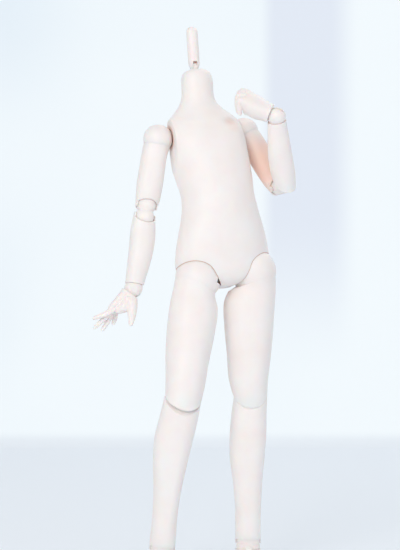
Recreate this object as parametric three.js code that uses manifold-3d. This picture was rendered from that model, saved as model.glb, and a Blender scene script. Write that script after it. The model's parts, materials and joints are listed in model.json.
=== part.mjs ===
// A jointed doll without its head, on a neck peg that takes one.
// Millimetres, +Z up, the doll faces -Y and its left side is +X.
import * as THREE from "three";
import { mergeVertices } from "three/addons/utils/BufferGeometryUtils.js";
import Module from "manifold-3d";

const wasm = await Module();
wasm.setup();

// Clearances
const RUNNING_GAP = 0.3; // between a tongue and its slot, a post and its bore
const CUP_GAP = 0.5; // between a small ball and its cup
const PIN_GAP = 0.12; // round a pin in its hole
const SHOULDER_GAP = 0.9; // the shoulder sockets are cut wide and show a dark line
const LIMB_GAP = 0.3; // between the ends of two limb pieces that turn on each other

// Torso: one moulded piece from the crotch to the top of the neck
const TORSO_HEIGHT = 160;
const HIP_HEIGHT = 9; // hip ball centre above the crotch
const HIP_SPREAD = 21.2; // hip ball centre from the middle
const HIP_FORWARD = 1.5;
const HIP_BALL = 16.6; // radius
const HIP_CUT = 2.8; // the torso ends at a slanting plane this far below each hip centre
const HIP_CUT_TILT = 19;
const HIP_INWARD = 14; // degrees a leg can swing in past straight, and out
const HIP_OUTWARD = 24;
const HIP_BACKWARD = 16; // and back
const LEG_LIFTS = [-18, 34]; // room for the hip's tongue as the leg lifts out
const LEG_TURNS = [-30, 30];
const SHOULDER_HEIGHT = 113;
const SHOULDER_SPREAD = 33.6;
const SHOULDER_BACK = 6;
const SHOULDER_BALL = 10.6; // radius

// Neck and head peg
const NECK_BORE = 4.6; // radius of the bore in the top of the neck
const NECK_BORE_DEPTH = 16;
const NECK_LEAN = 5; // the bore leans back towards upright, in degrees
const KNOB_BALL = 3.7; // radius of the knob's round head
const KNOB_RISE = 2.2; // its centre above the neck's top
const PEG_RADIUS = 4.2;
const PEG_LENGTH = 31;
const PEG_FOOT = 2.5; // radius at the tapered foot that clears the neck when it nods
const PEG_FOOT_LENGTH = 4.4;
const PEG_FOOT_DROP = 1.5; // foot below the nodding pin
const PEG_SLOT = 3.0; // width of the fork's slot
const NECK_PIN = 0.8; // radius

// Arm
const UPPER_ARM_LENGTH = 48.9; // shoulder centre to the upper elbow pin
const ARM_LIFTS = [0, 90]; // room for the shoulder's tongue as the arm lifts
const ARM_TOP = 10; // half-width of the arm that the armpit leaves room for
const ARM_INNERMOST = 8; // smallest angle between arm and torso, in degrees
const ARM_SEAM_DROP = 4.4; // turning seam below the shoulder centre
const ARM_POST = 4.2; // radius of the post that the arm turns on
const ARM_POST_LENGTH = 12;
const ELBOW_BALL = 6.9;
const ELBOW_SPACING = 8.4; // between the two elbow pins
const ELBOW_PIN = 0.8;
const FOREARM_LENGTH = 49.2; // lower elbow pin to the seam at the wrist
const WRIST_BALL = 6.6;
const WRIST_DROP = 3.4; // wrist ball centre below that seam
const WRIST_POST = 3.0;
const WRIST_POST_LENGTH = 9;
const WRIST_PIN = 0.7;

// Leg
const THIGH_LENGTH = 82.5; // hip centre to the upper knee pin
const KNEE_BALL = 10.4;
const KNEE_SPACING = 9.0;
const KNEE_PIN = 1.2;
const SHIN_LENGTH = 103.2; // lower knee pin to the ankle's upper pin
const ANKLE_BALL = 8.6;
const ANKLE_SPACING = 5.0;
const ANKLE_PIN = 0.9;
const SOLE_DROP = 14.6; // sole below the ankle's lower pin
const HIP_POST = 5.0;
const HIP_POST_LENGTH = 18;
const HIP_BLOCK = 7.2; // radius of the hip block's round head

// Tongues: the flat eye of a hub that a pin passes through
const SHOULDER_TONGUE = 4.4; // thickness
const SHOULDER_EYE = 3.6; // radius of its round end
const WRIST_TONGUE = 2.4;
const WRIST_EYE = 2.2;
const HIP_TONGUE = 6.0;
const HIP_EYE = 4.8;
const SHOULDER_PIN = 1.0;
const HIP_PIN = 1.4;
const HUB_DISC = 6.2; // radius of the shoulder hub's disc inside the torso
const HUB_THICK = 4.0;
const HIP_DISC = 5.6;
const HIP_DISC_THICK = 2.2;

// Rims: how far each limb end stands clear of, or reaches past, the centre of its ball.
const ELBOW_CREASE = 4.8;
const ELBOW_BACK = 3.75;
const ELBOW_EAR = 2.2; // radius of the ears that hold a pin
const HAND_RIM = 5.6; // the hand begins this far below the wrist pin
const KNEE_STAGE = 45; // most bend at each knee pin
const KNEE_SET = 2; // the front of the knee closes at this bend
const KNEE_CREASE = 7.1; // back of the thigh's rim above the upper pin
const KNEE_FRONT = 16.1; // front of the thigh's rim below the upper pin
const KNEE_HOLLOW = 6.3; // back of the shin's rim below the lower pin
const KNEE_RIDGE = 25.7;
const KNEE_TOP = 2.8; // sides of the shin's rim above the lower pin
const ANKLE_RIM = 1.2;
const ANKLE_EAR = 2.2;

// The photographed pose, in degrees
const TORSO_TURN = 20; // the chest faces a little to the doll's left
const TORSO_LEAN = -8.5; // the top leans to the doll's right
const TORSO_PITCH = -6;
const CROTCH_AT = [19.5, 0, 205.2];
const NECK_POSE = { turn: -6, nod: 0 };
const RIGHT_ARM = { swing: 8, lift: 16.5, turn: 0, elbow: 4, wristTurn: -62, wristBend: 44 };
const LEFT_ARM = { swing: -18, lift: 17.8, turn: 1.5, elbow: 132, wristTurn: -38, wristBend: -56 };
const RIGHT_LEG = {
  swing: -3.25,
  lift: 16.32,
  turn: 7.38,
  knee: 15.59,
  ankleBend: -2.5,
  ankleTilt: -8.44,
};
const LEFT_LEG = {
  swing: 8.39,
  lift: -7.14,
  turn: -18.34,
  knee: 1.4,
  ankleBend: -0.88,
  ankleTilt: -1.09,
};

const SKIN = "#f4ece9";
const INNER = "#e6dcd8";
const STEEL = "#b9bcc0";
const RAD = Math.PI / 180;

// Geometry helpers

function solidOf(geometry) {
  const bare = new THREE.BufferGeometry();
  bare.setAttribute("position", geometry.getAttribute("position"));
  bare.setIndex(geometry.index);
  const merged = mergeVertices(bare, 1e-4);
  return new wasm.Manifold(
    new wasm.Mesh({
      numProp: 3,
      vertProperties: new Float32Array(merged.attributes.position.array),
      triVerts: new Uint32Array(merged.index.array),
    }),
  );
}

function geometryOf(solid) {
  const mesh = solid.getMesh();
  const geometry = new THREE.BufferGeometry();
  geometry.setAttribute("position", new THREE.BufferAttribute(mesh.vertProperties, 3));
  geometry.setIndex(new THREE.BufferAttribute(mesh.triVerts, 1));
  geometry.computeVertexNormals();
  return geometry;
}

function ball(radius, at = [0, 0, 0], around = 20) {
  const geometry = new THREE.SphereGeometry(radius, around, around / 2);
  geometry.rotateX(Math.PI / 2);
  geometry.translate(...at);
  return solidOf(geometry);
}

// A round bar along x, y or z, centred at a point.
function bar(radius, length, along, at = [0, 0, 0], around = 12) {
  const geometry = new THREE.CylinderGeometry(radius, radius, length, around);
  if (along === "x") geometry.rotateZ(Math.PI / 2);
  if (along === "z") geometry.rotateX(Math.PI / 2);
  geometry.translate(...at);
  return solidOf(geometry);
}

function block(size, at = [0, 0, 0]) {
  const geometry = new THREE.BoxGeometry(...size);
  geometry.translate(...at);
  return solidOf(geometry);
}

// Stacked rings of equal point counts joined into one closed body, lowest ring first.
function skin(rings) {
  const sides = rings[0].length;
  const points = rings.flat();
  const bottom = points.length;
  const mean = (ring) =>
    ring.reduce((sum, p) => sum.add(p), new THREE.Vector3()).divideScalar(sides);
  points.push(mean(rings[0]), mean(rings[rings.length - 1]));
  const faces = [];
  for (let r = 0; r < rings.length - 1; r++) {
    for (let s = 0; s < sides; s++) {
      const a = r * sides + s;
      const b = r * sides + ((s + 1) % sides);
      faces.push(a, b, b + sides, a, b + sides, a + sides);
    }
  }
  const last = (rings.length - 1) * sides;
  for (let s = 0; s < sides; s++) {
    const next = (s + 1) % sides;
    faces.push(bottom, next, s, bottom + 1, last + s, last + next);
  }
  const geometry = new THREE.BufferGeometry();
  geometry.setFromPoints(points);
  geometry.setIndex(faces);
  return solidOf(geometry);
}

// A body lofted up through sections [z, lateral, medial, front, back]: four quarter ellipses each,
// with the sizes between sections on a smooth curve. side is 1 for the doll's left, -1 for its right.
function loft(sections, sides, ringsBetween = 1, side = 1) {
  const heights = sections.map((s) => s[0]);
  const curve = new THREE.CubicInterpolant(heights, sections.flatMap((s) => s.slice(1)), 4);
  const levels = [];
  for (let k = 0; k < heights.length - 1; k++) {
    for (let i = 0; i < ringsBetween; i++) {
      levels.push(THREE.MathUtils.lerp(heights[k], heights[k + 1], i / ringsBetween));
    }
  }
  levels.push(heights[heights.length - 1]);
  const rings = levels.map((z) => {
    const [lateral, medial, front, back] = curve.evaluate(z);
    const ring = [];
    for (let n = 0; n < sides; n++) {
      const x = Math.cos((2 * Math.PI * n) / sides);
      const y = Math.sin((2 * Math.PI * n) / sides);
      const wide = x * side > 0 ? lateral : medial;
      ring.push(new THREE.Vector3(x * wide, y * (y > 0 ? back : front), z));
    }
    return ring;
  });
  return skin(rings);
}

// A round-ended finger or toe: a tube through points, with a radius at each.
function finger(points, radii, sides = 6, rings = 5) {
  const path = new THREE.CatmullRomCurve3(points.map((p) => new THREE.Vector3(...p)));
  const frames = path.computeFrenetFrames(rings, false);
  const sizes = new THREE.CubicInterpolant(
    radii.map((r, i) => i / (radii.length - 1)),
    radii,
    1,
  );
  const made = [];
  for (let k = 0; k <= rings; k++) {
    const at = path.getPoint(k / rings);
    const radius = sizes.evaluate(k / rings)[0];
    const ring = [];
    for (let n = 0; n < sides; n++) {
      const t = (2 * Math.PI * n) / sides;
      const offset = frames.normals[k].clone().multiplyScalar(Math.cos(t) * radius);
      offset.addScaledVector(frames.binormals[k], Math.sin(t) * radius);
      ring.push(at.clone().add(offset));
    }
    made.push(ring);
  }
  const tip = ball(radii[radii.length - 1], points[points.length - 1], sides);
  return skin(made).add(tip);
}

const doll = new THREE.Group();

function material(colour, roughness, metalness = 0) {
  return new THREE.MeshStandardMaterial({ color: colour, roughness, metalness });
}

function piece(parent, name, solid, colour = SKIN) {
  const metal = colour === STEEL;
  const mesh = new THREE.Mesh(geometryOf(solid), material(colour, metal ? 0.35 : 0.45, metal ? 1 : 0));
  mesh.name = name;
  parent.add(mesh);
  return mesh;
}

// A frame of the scene graph: it moves with its parent and turns about its own origin.
function frame(parent, at, axis = "x", degrees = 0) {
  const group = new THREE.Group();
  group.position.set(...at);
  group.rotation[axis] = degrees * RAD;
  group.userData.axis = axis;
  parent.add(group);
  return group;
}

// Torso

const TORSO_SECTIONS = [
  [0, 6, 6, 8, 9],
  [2, 13, 13, 13, 14],
  [7, 28, 28, 17, 21],
  [16, 35.4, 35.4, 19, 25.5],
  [28, 34.8, 34.6, 21.2, 23.4],
  [42, 32.8, 31.2, 24.0, 16.5],
  [54, 30.4, 28.0, 25.0, 11.6],
  [66, 28.8, 26.0, 24.6, 10.2],
  [80, 29.8, 27.2, 24.4, 12.2],
  [94, 31.0, 29.4, 24.4, 15.6],
  [106, 31.0, 30.0, 22.8, 17.4],
  [116, 30.0, 29.6, 18.8, 16.8],
  [123, 26.4, 26.4, 15.0, 14.8],
  [129, 20.4, 20.4, 12.4, 13.0],
  [135, 14.6, 14.6, 11.0, 12.0],
  [142, 11.6, 11.6, 10.4, 11.4],
  [150, 11.2, 11.2, 10.6, 11.0],
  [155, 10.6, 10.6, 10.2, 10.4],
  [158.6, 8.9, 8.9, 8.6, 8.8],
  [TORSO_HEIGHT, 6.9, 6.9, 6.7, 6.8],
];

const torso = frame(doll, CROTCH_AT);
torso.rotation.order = "YXZ";
torso.rotation.set(TORSO_PITCH * RAD, TORSO_LEAN * RAD, TORSO_TURN * RAD);

const shoulderAt = (side) => [side * SHOULDER_SPREAD, SHOULDER_BACK, SHOULDER_HEIGHT];
const hipAt = (side) => [side * HIP_SPREAD, -HIP_FORWARD, HIP_HEIGHT];
const SHOULDER_SOCKET = SHOULDER_BALL + SHOULDER_GAP;
const HIP_SOCKET = HIP_BALL + RUNNING_GAP;

// Distance of each hub disc's outer face from the ball's centre.
const HUB_FACE = SHOULDER_BALL + RUNNING_GAP;
const HIP_FACE = HIP_BALL + RUNNING_GAP;

// Half of space below a plane that passes `drop` under a hip centre, tilted down towards the middle.
function belowHip(side, drop, tilt) {
  const half = 130;
  const geometry = new THREE.BoxGeometry(2 * half, 2 * half, half);
  geometry.translate(0, 0, -half / 2 - drop);
  geometry.rotateY(-side * tilt * RAD);
  return solidOf(geometry);
}

// A shallow cone about the shoulder's swing axis: the torso keeps inside the arm's innermost swing.
function armRoom(side) {
  const reach = 60;
  const depth = reach * Math.tan(ARM_INNERMOST * RAD);
  const cone = new THREE.ConeGeometry(reach, depth, 24);
  cone.rotateZ((side * Math.PI) / 2);
  cone.translate(side * (depth / 2 - ARM_TOP / Math.cos(ARM_INNERMOST * RAD)), 0, 0);
  return solidOf(cone);
}

function torsoShell() {
  let shell = loft(TORSO_SECTIONS, 24, 1);
  for (const side of [-1, 1]) {
    const [sx, sy, sz] = shoulderAt(side);
    shell = shell.subtract(ball(SHOULDER_SOCKET, [sx, sy, sz], 20));
    shell = shell.subtract(armRoom(side).translate([sx, sy, sz]));
    const boreLength = HUB_THICK + RUNNING_GAP + 3;
    const boreMiddle = sx - side * (HUB_FACE + HUB_THICK + RUNNING_GAP - boreLength / 2);
    shell = shell.subtract(bar(HUB_DISC + RUNNING_GAP + 0.1, boreLength, "x", [boreMiddle, sy, sz], 14));
  }
  for (const side of [-1, 1]) {
    const [hx, hy, hz] = hipAt(side);
    shell = shell.subtract(ball(HIP_SOCKET, [hx, hy, hz], 24));
    const boreLength = HIP_DISC_THICK + RUNNING_GAP + 4;
    shell = shell.subtract(belowHip(side, HIP_CUT, HIP_CUT_TILT).translate([hx, hy, hz]));
    const boreMiddle = hx - side * (HIP_FACE + HIP_DISC_THICK + RUNNING_GAP - boreLength / 2);
    shell = shell.subtract(bar(HIP_DISC + RUNNING_GAP + 0.1, boreLength, "x", [boreMiddle, hy, hz], 14));
  }
  const bore = bar(NECK_BORE, NECK_BORE_DEPTH + 2, "z", [0, 0, 1 - NECK_BORE_DEPTH / 2], 14);
  return shell.subtract(bore.rotate([0, NECK_LEAN, 0]).translate([0, 0, TORSO_HEIGHT]));
}

piece(torso, "torso_shell", torsoShell());

// Neck: the knob turns in the neck's bore and the fork of the peg nods on it

const neckBore = frame(torso, [0, 0, TORSO_HEIGHT], "y", NECK_LEAN);
const neck = frame(neckBore, [0, 0, 0], "z", NECK_POSE.turn);
const knobAt = [0, 0, KNOB_RISE];

function neckKnob() {
  const stemLength = NECK_BORE_DEPTH - 1;
  const stem = bar(NECK_BORE - RUNNING_GAP, stemLength, "z", [0, 0, -stemLength / 2 - 0.6], 14);
  const cheekGap = PEG_SLOT - 2 * RUNNING_GAP;
  const head = ball(KNOB_BALL, knobAt, 12).intersect(block([cheekGap, 20, 20], knobAt));
  const foot = bar(PEG_RADIUS - 0.6, 2.4, "z", [0, 0, -1.2], 14);
  return stem.add(foot).add(head).subtract(bar(NECK_PIN + PIN_GAP, 20, "x", knobAt, 8));
}

const nod = frame(neck, knobAt, "x", NECK_POSE.nod);

function headPeg() {
  const top = PEG_LENGTH - PEG_RADIUS;
  const foot = PEG_FOOT_LENGTH / 2 - PEG_FOOT_DROP;
  const taper = new THREE.CylinderGeometry(PEG_RADIUS, PEG_FOOT, PEG_FOOT_LENGTH, 16);
  taper.rotateX(Math.PI / 2);
  taper.translate(0, 0, foot);
  const low = foot + PEG_FOOT_LENGTH / 2 - 0.01;
  const shaft = bar(PEG_RADIUS, top - low, "z", [0, 0, (top + low) / 2], 16);
  return shaft
    .add(ball(PEG_RADIUS, [0, 0, top], 16))
    .add(solidOf(taper))
    .subtract(block([PEG_SLOT, 20, 9], [0, 0, 0]))
    .subtract(bar(NECK_PIN + PIN_GAP, 20, "x", [0, 0, 0], 8));
}

piece(neck, "neck_knob", neckKnob());
piece(nod, "head_peg", headPeg());
piece(nod, "neck_pin", bar(NECK_PIN, 2 * PEG_FOOT + 0.6, "x", [0, 0, 0], 8), STEEL);

// Hubs, balls and posts shared by shoulders and hips

// The eye of a hub: a flat tongue from the disc's face to the ball's centre, towards the body.
function tongue(side, reach, eye, thick, pin) {
  const flat = block([reach, thick, 2 * eye], [(-side * reach) / 2, 0, 0]);
  return flat.add(bar(eye, thick, "y")).subtract(bar(pin + PIN_GAP, 3 * thick, "y", [0, 0, 0], 8));
}

const AXIS_X = new THREE.Vector3(1, 0, 0);
const AXIS_Y = new THREE.Vector3(0, 1, 0);
const AXIS_Z = new THREE.Vector3(0, 0, 1);

// A plate shaped like the area that a straight bar of the given half-width sweeps as it turns about
// its end, from one angle to another. `along` is its direction at 0 degrees and `towards` at 90.
function fan(half, from, to, reach, depth, along, towards) {
  const edge = (degrees, out, aside) => {
    const t = degrees * RAD;
    return new THREE.Vector2(
      out * Math.cos(t) - aside * Math.sin(t),
      out * Math.sin(t) + aside * Math.cos(t),
    );
  };
  const steps = Math.ceil((to - from) / 30);
  const outline = [edge(from, 0, -half), edge(from, reach, -half)];
  for (let i = 1; i < steps; i++) {
    outline.push(edge(from + ((to - from) * i) / steps, 1.1 * reach, 0));
  }
  outline.push(edge(to, reach, half), edge(to, 0, half));
  const geometry = new THREE.ExtrudeGeometry(new THREE.Shape(outline), { depth, bevelEnabled: false });
  geometry.deleteAttribute("uv");
  geometry.translate(0, 0, -depth / 2);
  const across = new THREE.Vector3().crossVectors(along, towards);
  geometry.applyMatrix4(new THREE.Matrix4().makeBasis(along, towards, across));
  return solidOf(geometry);
}

// The room that a hub's tongue sweeps inside a ball as the limb lifts and, if it does, turns.
function tongueRoom(side, reach, eye, thick, lifts, turns) {
  const inward = AXIS_X.clone().multiplyScalar(-side);
  const half = thick / 2 + RUNNING_GAP;
  const width = turns[1] > 0 ? 4 * reach : 2 * half;
  let room = fan(eye + RUNNING_GAP, lifts[0], lifts[1], reach, width, inward, AXIS_Z);
  if (turns[1] > 0) room = room.intersect(fan(half, turns[0], turns[1], reach, 4 * reach, inward, AXIS_Y));
  return room.add(bar(eye + RUNNING_GAP, 2 * half, "y"));
}

function hub(side, face, disc, thick, eye, flat, pin) {
  const plate = bar(disc, thick, "x", [-side * (face + thick / 2), 0, 0], 16);
  return plate.add(tongue(side, face + 0.5, eye, flat, pin));
}

// Arms

const KNUCKLE_DROP = 19.5; // finger roots below the wrist pin
const WRIST_BENDS = [-84, 56]; // the hand bends this far to the palm and to the back

const UPPER_ARM_SECTIONS = [
  [-60, 7.6, 7.4, 6.2, 7.4],
  [-49, 8.2, 7.6, 6.3, 7.6],
  [-44, 8.8, 7.6, 6.6, 8.0],
  [-34, 9.7, 7.9, 8.0, 8.6],
  [-20, 9.9, 8.1, 8.8, 9.0],
  [-11, 10.0, 8.4, 9.4, 9.4],
  [-ARM_SEAM_DROP - LIMB_GAP, 9.6, 9.5, 9.6, 9.6],
];

const FOREARM_SECTIONS = [
  [-FOREARM_LENGTH, 6.7, 6.5, 6.3, 6.3],
  [-44, 6.8, 6.8, 6.5, 6.5],
  [-34, 7.2, 7.9, 7.2, 7.4],
  [-22, 7.8, 8.8, 8.0, 8.2],
  [-10, 8.5, 8.9, 7.2, 8.6],
  [-2, 8.4, 8.0, 6.3, 8.2],
  [8, 7.8, 7.6, 6.2, 7.6],
];

// What to keep of a limb at its ball: the half of space past a slanting plane. up is 1 above the
// ball and -1 below it, and the plane stands `rise` clear of the centre on the crease side (y sign
// crease) and reaches `drop` past it on the far side, both at the ball's radius.
function pastPlane(up, crease, radius, rise, drop) {
  const half = 130;
  const slope = Math.atan2(rise + drop, 2 * radius);
  const geometry = new THREE.BoxGeometry(4 * half, 4 * half, half);
  geometry.translate(0, 0, (up * half) / 2);
  geometry.rotateX(up * crease * slope);
  geometry.translate(0, 0, (up * (rise - drop)) / 2);
  return solidOf(geometry);
}

// Two round heads on the two pins of a double joint. The second pin can lie along y.
function doubleLink(radius, spacing, pin, secondAlong = "x", around = 14) {
  const upper = ball(radius, [0, 0, 0], around);
  const lower = ball(radius, [0, 0, -spacing], around);
  const hole = pin + PIN_GAP;
  const link = upper.add(lower).subtract(bar(hole, 3 * radius, "x", [0, 0, 0], 8));
  return link.subtract(bar(hole, 3 * radius, secondAlong, [0, 0, -spacing], 8));
}

function arm(side, name, pose) {
  const swing = frame(torso, shoulderAt(side), "x", pose.swing);
  const lift = frame(swing, [0, 0, 0], "y", -side * pose.lift);
  const turn = frame(lift, [0, 0, 0], "z", side * pose.turn);
  const upperElbow = frame(turn, [0, 0, -UPPER_ARM_LENGTH], "x", -pose.elbow / 2);
  const lowerElbow = frame(upperElbow, [0, 0, -ELBOW_SPACING], "x", -pose.elbow / 2);
  const wristAt = [0, 0, -FOREARM_LENGTH - WRIST_DROP];
  const wrist = frame(lowerElbow, wristAt, "z", side * pose.wristTurn);
  const palm = frame(wrist, [0, 0, 0], "x", pose.wristBend);

  piece(swing, "shoulder_hub_" + name, shoulderHub(side), INNER);
  piece(lift, "shoulder_pin_" + name, bar(SHOULDER_PIN, 2 * SHOULDER_BALL - 5, "y", [0, 0, 0], 8), STEEL);
  piece(lift, "shoulder_ball_" + name, shoulderBall(side));
  piece(turn, "upper_arm_" + name, upperArm(side));
  piece(upperElbow, "elbow_link_" + name, doubleLink(ELBOW_BALL, ELBOW_SPACING, ELBOW_PIN));
  const pin = () => bar(ELBOW_PIN, 2 * ELBOW_BALL, "x", [0, 0, 0], 8);
  piece(upperElbow, "elbow_upper_pin_" + name, pin(), STEEL);
  piece(lowerElbow, "elbow_lower_pin_" + name, pin(), STEEL);
  piece(lowerElbow, "forearm_" + name, forearm(side));
  piece(wrist, "wrist_ball_" + name, wristBall());
  piece(wrist, "wrist_pin_" + name, bar(WRIST_PIN, 2 * WRIST_BALL - 1, "x", [0, 0, 0], 8), STEEL);
  piece(palm, "hand_" + name, side < 0 ? openHand(side) : closedHand(side));
  return { swing, lift, turn, upperElbow, lowerElbow, wrist, palm };
}

function shoulderHub(side) {
  return hub(side, HUB_FACE, HUB_DISC, HUB_THICK, SHOULDER_EYE, SHOULDER_TONGUE, SHOULDER_PIN);
}

// The round top of the arm, with the slot that lets the arm lift and the post it turns on.
function shoulderBall(side) {
  const seam = block([60, 60, 60], [0, 0, 30 - ARM_SEAM_DROP]);
  const postMiddle = -ARM_SEAM_DROP - ARM_POST_LENGTH / 2 + 0.5;
  const post = bar(ARM_POST, ARM_POST_LENGTH + 1, "z", [0, 0, postMiddle], 12);
  const room = tongueRoom(side, 2 * SHOULDER_BALL, SHOULDER_EYE, SHOULDER_TONGUE, ARM_LIFTS, [0, 0]);
  const pinHole = bar(SHOULDER_PIN + PIN_GAP, 2 * SHOULDER_BALL - 4, "y", [0, 0, 0], 8);
  return ball(SHOULDER_BALL, [0, 0, 0], 18).intersect(seam).add(post).subtract(room).subtract(pinHole);
}

function upperArm(side) {
  const elbow = [0, 0, -UPPER_ARM_LENGTH];
  const rim = pastPlane(1, -1, ELBOW_BALL, ELBOW_CREASE, ELBOW_BACK).add(bar(ELBOW_EAR, 40, "x"));
  const boreTop = -ARM_SEAM_DROP + 1;
  const boreLength = ARM_POST_LENGTH + 2;
  const bore = bar(ARM_POST + RUNNING_GAP, boreLength, "z", [0, 0, boreTop - boreLength / 2], 12);
  return loft(UPPER_ARM_SECTIONS, 16, 1, side)
    .intersect(rim.translate(elbow))
    .subtract(ball(ELBOW_BALL + CUP_GAP, elbow, 14))
    .subtract(bar(ELBOW_PIN + PIN_GAP, 40, "x", elbow, 8))
    .subtract(bore);
}

function forearm(side) {
  const rim = pastPlane(-1, -1, ELBOW_BALL, ELBOW_CREASE, ELBOW_BACK).add(bar(ELBOW_EAR, 40, "x"));
  const boreLength = WRIST_POST_LENGTH + 1;
  const boreMiddle = -FOREARM_LENGTH - 1 + boreLength / 2;
  return loft(FOREARM_SECTIONS, 16, 1, side)
    .intersect(rim)
    .subtract(ball(ELBOW_BALL + CUP_GAP, [0, 0, 0], 14))
    .subtract(bar(ELBOW_PIN + PIN_GAP, 40, "x", [0, 0, 0], 8))
    .subtract(bar(WRIST_POST + RUNNING_GAP, boreLength, "z", [0, 0, boreMiddle], 10));
}

function wristBall() {
  const top = WRIST_DROP - LIMB_GAP;
  const below = block([40, 40, 40], [0, 0, top - 20]);
  const post = bar(WRIST_POST, WRIST_POST_LENGTH, "z", [0, 0, top + WRIST_POST_LENGTH / 2 - 0.6], 10);
  const [toPalm, toBack] = WRIST_BENDS;
  const slotWidth = WRIST_TONGUE + 2 * RUNNING_GAP;
  const eye = WRIST_EYE + RUNNING_GAP;
  const down = AXIS_Z.clone().negate();
  const slot = fan(eye, toPalm, toBack, 2 * WRIST_BALL, slotWidth, down, AXIS_Y)
    .add(bar(eye, slotWidth, "x"));
  return ball(WRIST_BALL, [0, 0, 0], 14)
    .intersect(below)
    .add(post)
    .subtract(slot)
    .subtract(bar(WRIST_PIN + PIN_GAP, 40, "x", [0, 0, 0], 8));
}

// Hands: -Z runs to the fingertips, the palm faces -Y and the thumb is on the lateral side.

const PALM_SECTIONS = [
  [-KNUCKLE_DROP - 1.5, 8.0, 7.0, 2.4, 2.4],
  [-KNUCKLE_DROP, 8.8, 8.0, 3.2, 3.2],
  [-15, 9.0, 8.4, 4.0, 4.0],
  [-10.5, 8.4, 8.0, 5.0, 4.8],
  [-7, 7.2, 7.2, 6.0, 5.6],
  [-HAND_RIM, 6.4, 6.4, 6.2, 6.0],
];

function fitToWrist(hand) {
  const eye = bar(WRIST_EYE, WRIST_TONGUE, "x", [0, 0, 0], 12);
  const stem = block([WRIST_TONGUE, 2 * WRIST_EYE, 9], [0, 0, -4.5]);
  return hand
    .subtract(ball(WRIST_BALL + CUP_GAP, [0, 0, 0], 14))
    .add(eye)
    .add(stem)
    .subtract(bar(WRIST_PIN + PIN_GAP, 40, "x", [0, 0, 0], 8));
}

// Fingers listed from the index: where each leaves the palm, and its three bends in degrees.
const FINGER_ROOTS = [6.4, 2.2, -2.2, -6.0];
const FINGER_BONES = [
  [8.9, 5.8, 4.2],
  [9.6, 6.3, 4.4],
  [9.0, 6.0, 4.2],
  [7.2, 4.7, 3.6],
];
const FINGER_RADII = [2.3, 2.0, 1.75, 1.45];
function fingerAt(side, index, bends, spread) {
  const across = side * FINGER_ROOTS[index];
  const points = [[across, 0, -KNUCKLE_DROP + 3], [across, 0, -KNUCKLE_DROP]];
  let angle = 0;
  let [x, y, z] = points[1];
  FINGER_BONES[index].forEach((bone, i) => {
    angle += bends[i] * RAD;
    x += side * Math.sin(spread * RAD) * bone;
    y -= Math.sin(angle) * bone;
    z -= Math.cos(angle) * bone;
    points.push([x, y, z]);
  });
  const scale = index === 3 ? 0.88 : 1;
  const radii = [FINGER_RADII[0], ...FINGER_RADII].map((r) => r * scale);
  return finger(points, radii, 6, 5);
}

function openHand(side) {
  const bends = [[-14, -2, 4], [10, 12, 8], [24, 20, 14], [46, 40, 26]];
  const spreads = [5, 1, -3, -8];
  let hand = loft(PALM_SECTIONS, 12, 1, side);
  bends.forEach((bend, i) => {
    hand = hand.add(fingerAt(side, i, bend, spreads[i]));
  });
  const thumb = finger(
    [[side * 3.6, -2.6, -8.2], [side * 5.2, -6.6, -9.8], [side * 6.0, -11.4, -12.6], [side * 6.2, -16, -16]],
    [3.6, 3.3, 2.5, 1.7],
    6,
    5,
  );
  return fitToWrist(hand.add(thumb));
}

function closedHand(side) {
  const bends = [[28, 84, 58], [32, 86, 58], [36, 88, 58], [40, 90, 58]];
  let hand = loft(PALM_SECTIONS, 12, 1, side);
  bends.forEach((bend, i) => {
    hand = hand.add(fingerAt(side, i, bend, 0));
  });
  const thumb = finger(
    [[side * 3.8, -2.6, -8.2], [side * 6.6, -6.6, -11.4], [side * 6.2, -9.6, -16], [side * 2.6, -11.6, -20]],
    [3.4, 3.0, 2.4, 1.7],
    6,
    5,
  );
  return fitToWrist(hand.add(thumb));
}

const arms = { right: arm(-1, "right", RIGHT_ARM), left: arm(1, "left", LEFT_ARM) };

// Legs

const THIGH_SECTIONS = [
  [-104, 11.4, 11.0, 9.8, 10.6],
  [-90, 12.0, 11.2, 11.6, 11.4],
  [-78, 13.0, 13.6, 13.0, 12.0],
  [-60, 15.0, 15.4, 14.8, 14.2],
  [-40, 16.6, 16.6, 15.4, 16.4],
  [-22, 17.4, 17.4, 15.0, 17.6],
  [-12, 17.2, 16.2, 14.0, 17.2],
  [-6, 16.7, 15.6, 15.2, 16.6],
  [0, 16.6, 15.4, 16.4, 16.5],
];

const SHIN_SECTIONS = [
  [-108, 9.3, 9.3, 9.2, 9.2],
  [-96, 9.2, 9.1, 8.8, 9.0],
  [-78, 9.4, 9.4, 9.0, 9.8],
  [-60, 10.4, 10.6, 9.8, 12.4],
  [-42, 11.8, 12.2, 10.6, 14.6],
  [-26, 12.6, 12.6, 11.2, 14.6],
  [-12, 12.0, 12.2, 11.6, 12.4],
  [0, 11.8, 11.8, 11.4, 11.4],
  [10, 11.6, 11.6, 11.0, 11.0],
];

const FOOT_SECTIONS = [
  [-SOLE_DROP, 8.2, 8.0, 30, 13.0],
  [-SOLE_DROP + 2.2, 9.4, 9.0, 34.0, 14.4],
  [-SOLE_DROP + 5, 9.2, 8.8, 31.0, 14.6],
  [-SOLE_DROP + 8.5, 8.8, 8.6, 21.0, 13.0],
  [-SOLE_DROP + 11.5, 9.0, 9.0, 12.8, 11.0],
  [-SOLE_DROP + 16, 9.2, 9.2, 9.6, 9.6],
];

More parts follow.
